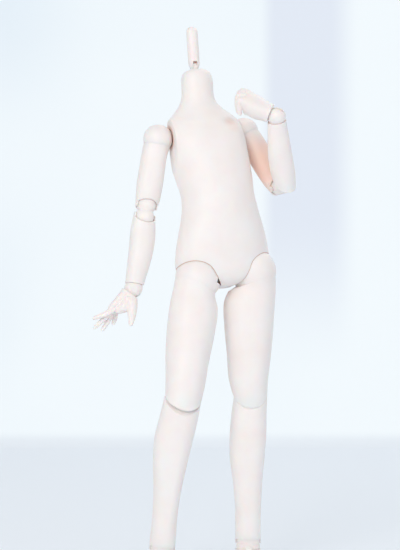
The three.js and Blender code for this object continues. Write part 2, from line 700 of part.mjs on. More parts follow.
function leg(side, name, pose) {
  const swing = frame(torso, hipAt(side), "x", pose.swing);
  const lift = frame(swing, [0, 0, 0], "y", -side * pose.lift);
  const turn = frame(lift, [0, 0, 0], "z", side * pose.turn);
  const upperKnee = frame(turn, [0, 0, -THIGH_LENGTH], "x", pose.knee / 2);
  const lowerKnee = frame(upperKnee, [0, 0, -KNEE_SPACING], "x", pose.knee / 2);
  const ankle = frame(lowerKnee, [0, 0, -SHIN_LENGTH], "x", pose.ankleBend);
  const foot = frame(ankle, [0, 0, -ANKLE_SPACING], "y", pose.ankleTilt);

  piece(swing, "hip_hub_" + name, hipHub(side), INNER);
  piece(lift, "hip_pin_" + name, bar(HIP_PIN, 2 * HIP_BLOCK - 2, "y", [0, 0, 0], 8), STEEL);
  piece(lift, "hip_block_" + name, hipBlock(side), INNER);
  piece(turn, "thigh_" + name, thigh(side));
  piece(upperKnee, "knee_link_" + name, doubleLink(KNEE_BALL, KNEE_SPACING, KNEE_PIN, "x", 16));
  const pin = () => bar(KNEE_PIN, 2 * KNEE_BALL, "x", [0, 0, 0], 8);
  piece(upperKnee, "knee_upper_pin_" + name, pin(), STEEL);
  piece(lowerKnee, "knee_lower_pin_" + name, pin(), STEEL);
  piece(lowerKnee, "shin_" + name, shin(side));
  piece(ankle, "ankle_link_" + name, doubleLink(ANKLE_BALL, ANKLE_SPACING, ANKLE_PIN, "y"));
  piece(ankle, "ankle_upper_pin_" + name, bar(ANKLE_PIN, 2 * ANKLE_BALL, "x", [0, 0, 0], 8), STEEL);
  piece(foot, "ankle_lower_pin_" + name, bar(ANKLE_PIN, 2 * ANKLE_BALL, "y", [0, 0, 0], 8), STEEL);
  piece(foot, "foot_" + name, footShell(side));
  return { swing, lift, turn, upperKnee, lowerKnee, ankle, foot };
}

function hipHub(side) {
  return hub(side, HIP_FACE, HIP_DISC, HIP_DISC_THICK, HIP_EYE, HIP_TONGUE, HIP_PIN);
}

function hipBlock(side) {
  const post = bar(HIP_POST, HIP_POST_LENGTH, "z", [0, 0, -HIP_POST_LENGTH / 2 - 3], 12);
  const room = tongueRoom(side, 2 * HIP_BLOCK, HIP_EYE, HIP_TONGUE, LEG_LIFTS, [0, 0]);
  return ball(HIP_BLOCK, [0, 0, 0], 14)
    .add(post)
    .subtract(room)
    .subtract(bar(HIP_PIN + PIN_GAP, 40, "y", [0, 0, 0], 8));
}

function thigh(side) {
  const knee = [0, 0, -THIGH_LENGTH];
  const rim = pastPlane(1, 1, KNEE_BALL, KNEE_CREASE, KNEE_FRONT);
  const top = ball(HIP_BALL, [0, 0, 0], 24);
  const cavity = ball(HIP_BLOCK + CUP_GAP, [0, 0, 0], 14)
    .add(bar(HIP_POST + RUNNING_GAP, HIP_POST_LENGTH + 1, "z", [0, 0, -HIP_POST_LENGTH / 2 - 3.5], 12))
    .add(tongueRoom(side, 2 * HIP_BALL, HIP_EYE, HIP_TONGUE, LEG_LIFTS, LEG_TURNS));
  const under = (tilt) => belowHip(side, HIP_CUT + RUNNING_GAP, HIP_CUT_TILT + tilt);
  const roof = under(HIP_INWARD)
    .intersect(under(-HIP_OUTWARD))
    .intersect(under(HIP_INWARD / 2).rotate([HIP_BACKWARD, 0, 0]))
    .intersect(under(HIP_INWARD / 2).rotate([-HIP_BACKWARD, 0, 0]));
  return loft(THIGH_SECTIONS, 18, 1, side)
    .intersect(roof)
    .add(top)
    .intersect(rim.translate(knee))
    .subtract(ball(KNEE_BALL + CUP_GAP, knee, 16))
    .subtract(ball(KNEE_BALL + CUP_GAP, [0, 0, -THIGH_LENGTH - KNEE_SPACING], 16))
    .subtract(bar(KNEE_PIN + PIN_GAP, 60, "x", knee, 8))
    .subtract(cavity);
}

function shin(side) {
  const ankle = [0, 0, -SHIN_LENGTH];
  const front = KNEE_FRONT - KNEE_SPACING + LIMB_GAP + 0.1;
  const kneeRim = pastPlane(-1, -1, KNEE_BALL, front, KNEE_CREASE + KNEE_SPACING - LIMB_GAP - 0.1)
    .rotate([-KNEE_SET, 0, 0])
    .intersect(pastPlane(-1, 1, KNEE_BALL, KNEE_HOLLOW, KNEE_RIDGE))
    .intersect(block([100, 100, 300], [0, 0, KNEE_TOP - 150]));
  const ankleRim = pastPlane(1, -1, ANKLE_BALL, ANKLE_RIM, -ANKLE_RIM).add(bar(ANKLE_EAR, 60, "x"));
  let blank = loft(SHIN_SECTIONS, 18, 1, side).intersect(kneeRim).intersect(ankleRim.translate(ankle));
  for (let bend = 0; bend <= KNEE_STAGE; bend += 15) {
    const upper = [0, KNEE_SPACING * Math.sin(bend * RAD), KNEE_SPACING * Math.cos(bend * RAD)];
    blank = blank.subtract(ball(KNEE_BALL + CUP_GAP, upper, 16));
  }
  return blank
    .subtract(ball(KNEE_BALL + CUP_GAP, [0, 0, 0], 16))
    .subtract(bar(KNEE_PIN + PIN_GAP, 60, "x", [0, 0, 0], 8))
    .subtract(ball(ANKLE_BALL + CUP_GAP, ankle, 14))
    .subtract(bar(ANKLE_PIN + PIN_GAP, 60, "x", ankle, 8));
}

function footShell(side) {
  const rim = pastPlane(-1, -1, ANKLE_BALL, ANKLE_RIM, -ANKLE_RIM).add(bar(ANKLE_EAR, 60, "y"));
  return loft(FOOT_SECTIONS, 18, 1, side)
    .intersect(rim)
    .subtract(ball(ANKLE_BALL + CUP_GAP, [0, 0, 0], 14))
    .subtract(ball(ANKLE_BALL + CUP_GAP, [0, 0, ANKLE_SPACING], 14))
    .subtract(bar(ANKLE_PIN + PIN_GAP, 60, "y", [0, 0, 0], 8));
}

const legs = { right: leg(-1, "right", RIGHT_LEG), left: leg(1, "left", LEFT_LEG) };

// The origin is at the middle of the whole doll's box, on the floor.
doll.updateMatrixWorld(true);
const box = new THREE.Box3().setFromObject(doll, true);
const middle = box.getCenter(new THREE.Vector3());
doll.position.set(-middle.x, -middle.y, -box.min.z);
doll.updateMatrixWorld(true);

// The frames that the joints turn, each about its userData.axis, for whoever poses the doll.
export const joints = { neck, nod, arms, legs };
export default doll;
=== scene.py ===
# %% [markdown]
# # A jointed doll, dressed for the camera
#
# The CAD model gives every size, place and joint of the doll. This lesson builds the smooth, finished
# surface of each plastic piece over it, gives every piece its material, and lights and frames the
# scene like the photograph: a pale doll in soft light before a pale blue-white backdrop.
#
# Each piece is made in its own upright position, in millimetres, with the same recipe as its CAD
# node but with many more points, and is then set in its place on the doll, in metres.

import json
import math

import bmesh
import bpy
import numpy as np
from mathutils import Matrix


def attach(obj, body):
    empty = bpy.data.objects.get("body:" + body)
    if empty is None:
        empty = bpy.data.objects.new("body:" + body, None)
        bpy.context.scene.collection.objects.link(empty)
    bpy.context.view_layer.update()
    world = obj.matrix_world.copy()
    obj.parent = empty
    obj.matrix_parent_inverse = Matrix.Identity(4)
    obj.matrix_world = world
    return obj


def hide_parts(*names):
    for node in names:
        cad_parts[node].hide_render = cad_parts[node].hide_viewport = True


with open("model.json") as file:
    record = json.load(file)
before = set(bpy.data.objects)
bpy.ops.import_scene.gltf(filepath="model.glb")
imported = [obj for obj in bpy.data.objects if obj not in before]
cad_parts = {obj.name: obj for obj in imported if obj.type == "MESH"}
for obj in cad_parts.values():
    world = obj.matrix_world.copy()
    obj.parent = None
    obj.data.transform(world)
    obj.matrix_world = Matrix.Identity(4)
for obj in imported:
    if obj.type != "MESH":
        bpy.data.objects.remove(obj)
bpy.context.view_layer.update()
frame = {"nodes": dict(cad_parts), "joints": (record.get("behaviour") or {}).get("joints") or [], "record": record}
joints = {joint["name"]: joint for joint in frame["joints"]}

# %% [markdown]
# ## Sizes that the CAD model shares with this scene
#
# Millimetres, as in the CAD source. Only the gaps between the shells are a little closer here than
# there, so that the seams look as fine as the photograph's.

# %% Sizes
MM = 0.001
RUNNING_GAP = 0.3
SEAM_GAP = 0.15
CUP_GAP = 0.25
PIN_GAP = 0.12
LIMB_GAP = 0.07
DISC_GAP = RUNNING_GAP + 0.1
OVERLAP = 1

TORSO_HEIGHT = 160
SHOULDER_AT = (33.6, 6, 113)
SHOULDER_BALL = 10.6
SHOULDER_SOCKET = SHOULDER_BALL + 0.45
HIP_AT = (21.2, -1.5, 9)
HIP_BALL = 16.6
HIP_SOCKET = HIP_BALL + SEAM_GAP
HIP_CUT = 2.8
HIP_CUT_TILT = 19
HIP_INWARD = 14
HIP_OUTWARD = 24
HIP_BACKWARD = 16
HIP_BLOCK = 7.2
LEG_LIFTS = {"right": (3, 29), "left": (-11, 28)}
LEG_TURNS = (-30, 30)
HUB_DISC = 6.2
HUB_THICK = 4.0
HUB_ROOM_PAST = 3
HIP_DISC = 5.6
HIP_DISC_THICK = 2.2
HIP_ROOM_PAST = 4
NECK_BORE = 4.6
NECK_BORE_DEPTH = 16
NECK_LEAN = 5
KNOB_BALL = 3.7
KNOB_RISE = 2.2
KNOB_FOOT = 3.6
KNOB_FOOT_TALL = 2.1
KNOB_FOOT_DROP = 0.4
KNOB_STEM_DROP = 0.6
PEG_RADIUS = 4.2
PEG_LENGTH = 31
PEG_FOOT = 2.5
PEG_FOOT_LENGTH = 4.4
PEG_FOOT_DROP = 1.5
PEG_SLOT = 3.0
PEG_SLOT_TOP = 4.3
NECK_PIN = 0.8
NECK_PIN_LENGTH = 5.7

UPPER_ARM_LENGTH = 48.9
ARM_LIFTS = (0, 90)
ARM_TOP = 10
ARM_INNERMOST = 8
ARM_SEAM_DROP = 4.4
ARM_POST = 4.2
ARM_POST_LENGTH = 12
ELBOW_BALL = 6.9
ELBOW_SPACING = 8.4
ELBOW_PIN = 0.8
ELBOW_CREASE = 4.8
ELBOW_BACK = 3.75
ELBOW_EAR = 2.2
FOREARM_LENGTH = 49.2
WRIST_BALL = 6.6
WRIST_DROP = 3.4
WRIST_POST = 3.0
WRIST_POST_LENGTH = 9
WRIST_POST_SUNK = 0.6
WRIST_PIN = 0.7
WRIST_PIN_LENGTH = 12.3
WRIST_TONGUE = 2.4
WRIST_EYE = 2.2
WRIST_TONGUE_LENGTH = 9
WRIST_BENDS = {"right": (-33, 56), "left": (-68, 36)}
FOREARM_END = 7.3
HAND_BEND = {"right": 44, "left": -56}

THIGH_LENGTH = 82.5
KNEE_BALL = 10.4
KNEE_SPACING = 9.0
KNEE_PIN = 1.2
KNEE_STAGE = 45
KNEE_STEP = 15
KNEE_GAPS = {"right": 2 * LIMB_GAP, "left": 5 * LIMB_GAP}
KNEE_SET = 2
KNEE_CREASE = 7.1
KNEE_FRONT = 16.1
KNEE_HOLLOW = 6.3
KNEE_RIDGE = 25.7
KNEE_TOP = 2.8
SHIN_LENGTH = 103.2
ANKLE_BALL = 8.6
ANKLE_SPACING = 5.0
ANKLE_PIN = 0.9
ANKLE_RIM = 1.2
ANKLE_EAR = 2.2
SOLE_DROP = 14.6
HIP_POST = 5.0
HIP_POST_LENGTH = 18
HIP_POST_FROM = 3
SHOULDER_TONGUE = 4.4
SHOULDER_EYE = 3.6
SHOULDER_PIN = 1.0
SHOULDER_PIN_LENGTH = 17.2
HIP_TONGUE = 6.0
HIP_EYE = 4.8
print("shoulder to wrist:", UPPER_ARM_LENGTH + ELBOW_SPACING + FOREARM_LENGTH, "mm when straight")

# %% [markdown]
# ## Sections
#
# A section of a limb is a row of five numbers: its height, then how far it reaches to the outer side,
# the inner side, the front and the back. The torso has no outer side, so there the second number is
# its left and the third its right. These outlines follow the photograph more closely than the CAD
# model's do, by a few millimetres.

# %% Sections of the torso and the arms
TORSO_SECTIONS = np.array([
    (0, 6, 6, 8, 9),
    (2, 13, 13, 13, 14),
    (7, 26.6, 28, 17.2, 21),
    (16, 33.8, 35.4, 19.2, 25.5),
    (28, 34.8, 34.4, 21.6, 23.4),
    (42, 33.2, 30.4, 24.0, 16.5),
    (54, 31.2, 26.6, 25.0, 11.6),
    (66, 30.2, 24.6, 24.6, 10.2),
    (80, 30.8, 26.6, 24.4, 12.2),
    (94, 31.0, 29.2, 24.4, 15.6),
    (106, 31.0, 30.0, 22.8, 17.4),
    (116, 29.6, 30.0, 18.8, 16.8),
    (123, 24.8, 27.2, 15.0, 14.8),
    (129, 17.8, 21.2, 12.4, 13.0),
    (135, 12.6, 15.8, 11.0, 12.0),
    (142, 11.4, 12.4, 10.4, 11.4),
    (150, 12.4, 11.3, 10.6, 11.0),
    (155, 11.9, 10.6, 10.2, 10.4),
    (158.6, 10.0, 8.9, 8.6, 8.8),
    (TORSO_HEIGHT, 8.0, 6.9, 6.7, 6.8),
])
UPPER_ARM_SECTIONS = np.array([
    (-60, 7.6, 7.5, 6.4, 7.4),
    (-49, 8.2, 8.4, 6.6, 7.6),
    (-44, 8.8, 9.2, 7.0, 8.0),
    (-34, 9.7, 9.4, 8.2, 8.6),
    (-20, 9.9, 8.8, 8.8, 9.0),
    (-11, 10.0, 8.6, 9.4, 9.4),
    (-ARM_SEAM_DROP - LIMB_GAP, 9.6, 9.5, 9.6, 9.6),
])
FOREARM_SECTIONS = np.array([
    (-FOREARM_LENGTH, 6.7, 7.1, 6.4, 6.4),
    (-44, 6.8, 7.8, 6.7, 6.7),
    (-34, 7.2, 9.3, 7.4, 7.6),
    (-22, 7.8, 10.3, 8.0, 8.4),
    (-10, 8.5, 9.8, 7.4, 8.6),
    (-2, 8.2, 8.4, 6.8, 8.2),
    (8, 7.6, 7.4, 6.4, 7.6),
])
print("sections of the torso:", len(TORSO_SECTIONS), "from 0 to", TORSO_HEIGHT, "mm")

# %% [markdown]
# The doll stands with a slight sway, and its legs lean a little to its right. So each leg's sections
# gain or lose a little: a row of the sway is a height, then the gain of the outer and the inner side.

# %% Sections of the legs
THIGH_SECTIONS = np.array([
    (-104, 11.4, 11.0, 9.2, 10.6),
    (-90, 12.0, 11.2, 11.6, 11.4),
    (-78, 13.0, 13.6, 13.0, 12.0),
    (-60, 15.0, 15.4, 14.8, 14.2),
    (-40, 16.6, 16.6, 15.4, 16.4),
    (-22, 17.4, 17.4, 15.0, 17.6),
    (-12, 17.2, 16.2, 14.0, 17.2),
    (-6, 16.7, 15.6, 15.2, 16.6),
    (0, 16.6, 15.4, 16.4, 16.5),
])
SHIN_SECTIONS = np.array([
    (-108, 9.3, 9.3, 9.2, 9.2),
    (-96, 9.2, 9.1, 8.8, 9.0),
    (-78, 9.4, 9.4, 9.0, 9.8),
    (-60, 10.4, 10.6, 9.8, 12.4),
    (-42, 11.8, 12.2, 10.6, 14.6),
    (-26, 12.6, 12.6, 11.2, 14.6),
    (-12, 12.0, 12.2, 11.6, 12.4),
    (0, 11.8, 11.8, 10.9, 11.4),
    (10, 11.6, 11.6, 10.1, 11.0),
])
FOOT_SECTIONS = np.array([
    (-SOLE_DROP, 8.2, 8.0, 30, 13.0),
    (-SOLE_DROP + 2.2, 9.4, 9.0, 34.0, 14.4),
    (-SOLE_DROP + 5, 9.2, 8.8, 31.0, 14.6),
    (-SOLE_DROP + 8.5, 8.8, 8.6, 21.0, 13.0),
    (-SOLE_DROP + 11.5, 9.0, 9.0, 12.8, 11.0),
    (-SOLE_DROP + 16, 9.2, 9.2, 9.6, 9.6),
])
THIGH_SWAY = {
    "right": ((-104, 2.6, -0.2), (-90, 2.4, 0.2), (-78, 2.2, -0.8), (-56, 2.2, -1.6),
              (-40, 1.8, -0.8), (-22, 0.8, -1.2), (-12, 0.0, -3.0), (0, 0.0, -1.0)),
    "left": ((-104, 0.0, 0.6), (-90, -0.2, 2.0), (-78, -0.7, 2.8), (-56, -1.0, 2.6),
             (-40, -1.2, 3.6), (-22, -1.2, 3.2), (-12, -0.6, 0.5), (0, 0.0, 0.0)),
}
SHIN_SWAY = {
    "right": ((-104, 0.0, 0.0), (-96, 0.6, -0.6), (-78, 1.4, -2.4), (-60, 2.6, -3.4),
              (-42, 4.2, -3.8), (-26, 4.8, -2.8), (-12, 4.0, -1.2), (0, 3.2, -0.4), (10, 2.6, -0.2)),
    "left": ((-104, 0.0, 0.0), (-96, -0.2, 0.4), (-78, -0.4, 0.7), (-60, -0.8, 1.4),
             (-42, -0.9, 2.4), (-26, -0.8, 2.2), (-12, -0.4, 1.6), (0, 0.0, 0.6), (10, 0.0, 0.4)),
}
print("the right shin bows outward by up to", max(row[1] for row in SHIN_SWAY["right"]), "mm")

# %% [markdown]
# ## Closed surfaces from whole arrays
#
# A surface is a grid of points: rows of equal rings, the lowest ring first, each ring running
# counter-clockwise seen from above. Neighbouring points of neighbouring rings make the faces, and a
# point in the middle of each end ring closes the body, so that all faces look outwards.

# %% Grid to mesh
def skin(rings):
    """A closed body from an array of shape (rings, sides, 3)."""
    count, sides, _ = rings.shape
    points = np.vstack([rings.reshape(-1, 3), rings[0].mean(0), rings[-1].mean(0)])
    row, side = np.meshgrid(np.arange(count - 1), np.arange(sides), indexing="ij")
    a = row * sides + side
    b = row * sides + (side + 1) % sides
    walls = np.stack([a, b, b + sides, a + sides], -1).reshape(-1, 4)
    s = np.arange(sides)
    after = (s + 1) % sides
    bottom, top, last = count * sides, count * sides + 1, (count - 1) * sides
    lower = np.stack([np.full(sides, bottom), after, s], -1)
    upper = np.stack([np.full(sides, top), last + s, last + after], -1)
    mesh = bpy.data.meshes.new("solid")
    mesh.from_pydata(points.tolist(), [], walls.tolist() + lower.tolist() + upper.tolist())
    solid = bpy.data.objects.new("solid", mesh)
    bpy.context.scene.collection.objects.link(solid)
    return solid


def reshape_points(solid, change):
    """Moves every point of a solid: `change` takes and returns an array of shape (points, 3)."""
    mesh = solid.data
    points = np.empty(3 * len(mesh.vertices))
    mesh.vertices.foreach_get("co", points)
    mesh.vertices.foreach_set("co", np.asarray(change(points.reshape(-1, 3))).ravel())
    mesh.update()
    return solid


def turned(points, axis, degrees):
    """The points turned about x, y or z by the right-hand rule, which mixes the other coordinates."""
    t = math.radians(degrees)
    first, second = {"x": (1, 2), "y": (2, 0), "z": (0, 1)}[axis]
    out = points.copy()
    out[:, first] = points[:, first] * math.cos(t) - points[:, second] * math.sin(t)
    out[:, second] = points[:, first] * math.sin(t) + points[:, second] * math.cos(t)
    return out


def turn(solid, axis, degrees):
    return reshape_points(solid, lambda p: turned(p, axis, degrees))


def move(solid, at):
    return reshape_points(solid, lambda p: p + np.array(at))


triangle = np.array([(1.0, 0, 0), (0, 1, 0), (-1, -1, 0)])
trial = skin(np.stack([triangle, triangle + (0, 0, 1)]))
print("a trial prism has", len(trial.data.polygons), "faces")
bpy.data.objects.remove(trial)

# %% [markdown]
# ## The simple solids
#
# A ball, a round bar and a block are the tools that cut the sockets, bores and rims. Each is a grid
# too, so that it has as many points as its place needs.

# %% Ball, bar and block
def ring_angles(around):
    return np.linspace(0, 2 * math.pi, around, endpoint=False)


def level_rings(x, y, height):
    return skin(np.stack([x, y, np.broadcast_to(height[:, None], x.shape)], -1))


def lathe(profile, around):
    """Turns rows of (radius, height) about z: x = r cos a, y = r sin a, z = height."""
    radius, height = np.asarray(profile, float).T
    a = ring_angles(around)
    return level_rings(radius[:, None] * np.cos(a), radius[:, None] * np.sin(a), height)


def ball(radius, at=(0, 0, 0), around=64):
    """A sphere as a lathe: radius cos b and height sin b, for b between -90 and 90 degrees."""
    b = np.linspace(-math.pi / 2, math.pi / 2, around // 2 + 1)[1:-1]
    profile = np.stack([radius * np.cos(b), radius * np.sin(b)], -1)
    return move(lathe(profile, around), at)


def cup(radius, at=(0, 0, 0)):
    """The room for a joint's round head."""
    return ball(radius + CUP_GAP, at)


def bar(radius, length, along="z", at=(0, 0, 0), around=40):
    solid = lathe([(radius, -length / 2), (radius, length / 2)], around)
    if along == "x":
        turn(solid, "y", 90)
    if along == "y":
        turn(solid, "x", -90)
    return move(solid, at)


def block(size, at=(0, 0, 0)):
    """A box of three sizes as a grid of two square rings."""
    x, y, z = (s / 2 for s in size)
    square = np.array([(x, y), (-x, y), (-x, -y), (x, -y)])
    rings = np.stack([np.column_stack([square, np.full(4, h)]) for h in (-z, z)])
    return move(skin(rings), at)


def above(height, size=60):
    """The half of space above a level, as a large block."""
    return block((size, size, size), (0, 0, height + size / 2))


def below(height, size=60):
    return block((size, size, size), (0, 0, height - size / 2))


print("a ball, a bar, a block and the half above or below a level")

# %% [markdown]
# ## Joining and cutting
#
# Each piece is finished by adding, cutting or keeping what it shares with another solid. The result
# of a cut is applied at once, and the tool that made it goes away.

# %% Boolean steps
def applied(solid):
    """The solid with its modifiers worked into its mesh."""
    graph = bpy.context.evaluated_depsgraph_get()
    before = solid.data
    solid.data = bpy.data.meshes.new_from_object(solid.evaluated_get(graph))
    solid.modifiers.clear()
    bpy.data.meshes.remove(before)
    return solid


def combine(solid, tool, how):
    modifier = solid.modifiers.new("combine", "BOOLEAN")
    modifier.operation = how
    modifier.object = tool
    modifier.solver = "MANIFOLD"
    applied(solid)
    bpy.data.objects.remove(tool)


def step(how):
    """A function that combines a solid with one tool after another."""
    def with_each(solid, *tools):
        for tool in tools:
            combine(solid, tool, how)
        return solid
    return with_each


add, cut, keep = step("UNION"), step("DIFFERENCE"), step("INTERSECT")
trial = cut(ball(10), bar(3, 30))
print("a bored ball has", len(trial.data.vertices), "points")
bpy.data.objects.remove(trial)

# %% [markdown]
# ## Limbs as lofted sections
#
# Between two sections each size runs on a cubic curve. It meets both sections, and its slope at a
# section is the mean of the slopes of the straight lines on either side of it, so the limb swells
# and narrows without a crease. Around the limb, each quarter of a ring is a quarter of an ellipse.

# %% Loft
def sizes_at(sections, levels):
    """The four sizes at each level: a cubic between sections, with the mean slope at each section."""
    height, size = sections[:, 0], sections[:, 1:]
    step = np.diff(height)[:, None]
    chord = np.diff(size, axis=0) / step
    slope = np.vstack([chord[:1], (chord[1:] + chord[:-1]) / 2, chord[-1:]])
    k = np.clip(np.searchsorted(height, levels, side="right") - 1, 0, len(height) - 2)
    p = (levels - height[k])[:, None] / step[k]
    start = (2 * p**3 - 3 * p**2 + 1) * size[k] + (p**3 - 2 * p**2 + p) * step[k] * slope[k]
    end = (3 * p**2 - 2 * p**3) * size[k + 1] + (p**3 - p**2) * step[k] * slope[k + 1]
    return start + end


def loft(sections, side=1, sides=96, spacing=1.2):
    """A limb: at each level x and y are the cosine and sine of the angle times that side's size."""
    low, high = sections[0, 0], sections[-1, 0]
    levels = np.linspace(low, high, int((high - low) / spacing) + 2)
    outer, inner, front, back = sizes_at(sections, levels).T[:, :, None]
    a = ring_angles(sides)
    x = np.cos(a) * np.where(np.cos(a) * side > 0, outer, inner)
    y = np.sin(a) * np.where(np.sin(a) > 0, back, front)
    return level_rings(x, y, levels)


print("waist, 66 mm up:", sizes_at(TORSO_SECTIONS, np.array([66.0]))[0])

# %% [markdown]
# ## Rims, slots and rooms
#
# The end of a limb is cut by a slanting plane, so that the joint can fold on one side. The tongue of
# a hub swings in a slot shaped like a fan.

# %% Rims and fans
HALF = 130


def past_plane(up, crease, radius, rise, drop):
    """The half of space past a slanting plane, `rise` clear of the centre on the crease side."""
    slope = math.degrees(math.atan2(rise + drop, 2 * radius))
    solid = block((4 * HALF, 4 * HALF, HALF), (0, 0, up * HALF / 2))
    turn(solid, "x", up * crease * slope)
    return move(solid, (0, 0, up * (rise - drop) / 2))


def below_hip(side, drop, tilt):
    """The half of space under a plane below the hip's centre, tilted down towards the middle."""
    solid = block((2 * HALF, 2 * HALF, HALF), (0, 0, -HALF / 2 - drop))
    return turn(solid, "y", -side * tilt)


def fan(half, start, end, reach, depth, along, towards):
    """The area that a straight bar sweeps as it turns about its end, as a plate of this depth."""
    def edge(degrees, out, aside):
        t = math.radians(degrees)
        return (out * math.cos(t) - aside * math.sin(t), out * math.sin(t) + aside * math.cos(t))

    steps = math.ceil((end - start) / 15)
    outline = [edge(start, 0, -half), edge(start, reach, -half)]
    outline += [edge(start + (end - start) * i / steps, 1.1 * reach, 0) for i in range(1, steps)]
    outline += [edge(end, reach, half), edge(end, 0, half)]
    flat = np.array(outline)
    across = np.cross(along, towards)
    plane = flat[:, :1] * np.array(along) + flat[:, 1:] * np.array(towards)
    rings = np.stack([plane - depth / 2 * across, plane + depth / 2 * across])
    return skin(rings)


def tongue_room(side, reach, eye, thick, lifts, turns=(0, 0)):
    inward = np.array((-side, 0, 0))
    half = thick / 2 + RUNNING_GAP
    width = 4 * reach if turns[1] > 0 else 2 * half
    room = fan(eye + RUNNING_GAP, *lifts, reach, width, inward, (0, 0, 1))
    if turns[1] > 0:
        keep(room, fan(half, *turns, reach, 4 * reach, inward, (0, 1, 0)))
    return add(room, bar(eye + RUNNING_GAP, 2 * half, "y"))


def pin_hole(pin, along, at=(0, 0, 0), length=60):
    return bar(pin + PIN_GAP, length, along, at, 16)

# %% [markdown]
# ## Where each piece stands
#
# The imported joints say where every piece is: each has an origin and axes, and the positions of the
# joints at a limb's two ends give its length axis. A piece's frame is a matrix made of three axes
# and an origin.

# %% Frames from the joints
def at(name):
    return np.array(joints[name]["pos_m"], float)


def axis_of(name):
    return np.array(joints[name]["axis"], float)


def frame_from(origin, x, z):
    """Columns x, y, z and the origin: z is kept, x is made square to it, and y is z cross x."""
    z = z / np.linalg.norm(z)
    x = x - z * (x @ z)
    x = x / np.linalg.norm(x)
    matrix = np.eye(4)
    matrix[:3, :4] = np.column_stack([x, np.cross(z, x), z, origin])
    return matrix


def torso_frame():
    """The shoulders' middle stands above and behind the hips' middle by a known amount."""
    x = axis_of("right_shoulder_swing")
    low = (at("right_hip_swing") + at("left_hip_swing")) / 2
    high = (at("right_shoulder_swing") + at("left_shoulder_swing")) / 2
    back, up = SHOULDER_AT[1] - HIP_AT[1], SHOULDER_AT[2] - HIP_AT[2]
    rise = (high - low) / np.linalg.norm(high - low)
    square = np.cross(x, rise)
    tilt = math.atan2(back, up)
    z = math.cos(tilt) * rise + math.sin(tilt) * square
    y = math.sin(tilt) * rise - math.cos(tilt) * square
    return frame_from(low - MM * (y * HIP_AT[1] + z * HIP_AT[2]), x, z)


def turned_about(matrix, degrees):
    """The same frame turned about its own x axis."""
    t = math.radians(degrees)
    spin = np.eye(4)
    spin[1:3, 1:3] = ((math.cos(t), -math.sin(t)), (math.sin(t), math.cos(t)))
    return matrix @ spin


TORSO = torso_frame()
print("torso origin", TORSO[:3, 3].round(4), "up", TORSO[:3, 2].round(3))

# %% [markdown]
# ## Finishing a piece
#
# A finished piece is set in place in metres, is smooth except at the edges of its cuts, takes the
# place of its CAD node and rides on that node's body.

# %% Finish a piece
SHARP_EDGE = math.radians(32)
body_of_node = {
    node: body for body, nodes in frame["record"]["behaviour"]["bodies"].items() for node in nodes
}
made = {}


def finish(solid, node, matrix):
    rotation, origin = matrix[:3, :3], matrix[:3, 3]
    reshape_points(solid, lambda p: MM * p @ rotation.T + origin)
    solid.name = solid.data.name = node + "_skin"
    mesh = solid.data
    mesh.materials.clear()
    mesh.polygons.foreach_set("use_smooth", np.ones(len(mesh.polygons), bool))
    mesh.set_sharp_from_angle(angle=SHARP_EDGE)
    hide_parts(node)
    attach(solid, body_of_node[node])
    made[node] = solid
    return solid

# %% [markdown]
# ## The torso
#
# One moulded shell from the crotch to the top of the neck. Its surface carries the faint forms of
# the photograph: two shallow collar bones, a hollow under the left one, a soft groove down the middle
# and a small hollow at the navel. Each is a smooth bump, added along the direction to the front: a
# rise, then the middle and the width across, then the middle and the width up.

# %% Torso shell
COLLAR = (0.5, 13, 8, 119.5, 2.0)
COLLAR_SLOPE = 0.10
NAVEL = (-0.35, 1.5, 2.6, 54, 4.0)
GROOVE = (-0.4, 0, 4.5, 84, 18)
HOLLOW = (-1.6, 15.5, 6.0, 116, 3.6)
FRONT_DEPTH = 8


def bump(x, z, shape):
    """The rise times the exponential of minus the sum of both squared distances in widths."""
    rise, across, breadth, up, height = shape
    return rise * np.exp(-(((x - across) / breadth) ** 2) - ((z - up) / height) ** 2)


def front_relief(points):
    """Pushes the front out or in: y falls by the sum of the bumps, fading towards the sides."""
    x, y, z = points.T
    front = np.clip(-y / FRONT_DEPTH, 0, 1)
    collar = bump(np.abs(x), z - COLLAR_SLOPE * np.abs(x), COLLAR)
    out = points.copy()
    out[:, 1] = y - front * (collar + sum(bump(x, z, shape) for shape in (NAVEL, GROOVE, HOLLOW)))
    return out


def without_chips(solid):
    """Keeps the largest joined part: points share their least label until all neighbours agree."""
    mesh = solid.data
    edges = np.empty(2 * len(mesh.edges), int)
    mesh.edges.foreach_get("vertices", edges)
    a, b = edges.reshape(-1, 2).T
    label, before = np.arange(len(mesh.vertices)), None
    while before is None or not np.array_equal(label, before):
        before = label.copy()
        least = np.minimum(label[a], label[b])
        np.minimum.at(label, a, least)
        np.minimum.at(label, b, least)
        label = label[label]
    labels, counts = np.unique(label, return_counts=True)
    loose = label != labels[counts.argmax()]
    work = bmesh.new()
    work.from_mesh(mesh)
    bmesh.ops.delete(work, geom=[v for v, off in zip(work.verts, loose) if off], context="VERTS")
    work.to_mesh(mesh)
    work.free()
    return solid


def arm_room(side):
    """A shallow cone about the shoulder: the torso keeps inside the arm's innermost swing."""
    reach = 60
    depth = reach * math.tan(math.radians(ARM_INNERMOST))
    cone = lathe([(reach, 0), (0.01, depth)], 72)
    turn(cone, "y", -90 * side)
    start = side * -ARM_TOP / math.cos(math.radians(ARM_INNERMOST))
    return move(cone, (start + side * depth, 0, 0))


def hub_room(radius, disc, thick, past, centre, side):
    """Room for a hub's disc just inside its socket, open towards the ball."""
    length = thick + RUNNING_GAP + past
    deep = radius + RUNNING_GAP + thick + RUNNING_GAP - length / 2
    return bar(disc + DISC_GAP, length, "x", (centre[0] - side * deep, *centre[1:]))


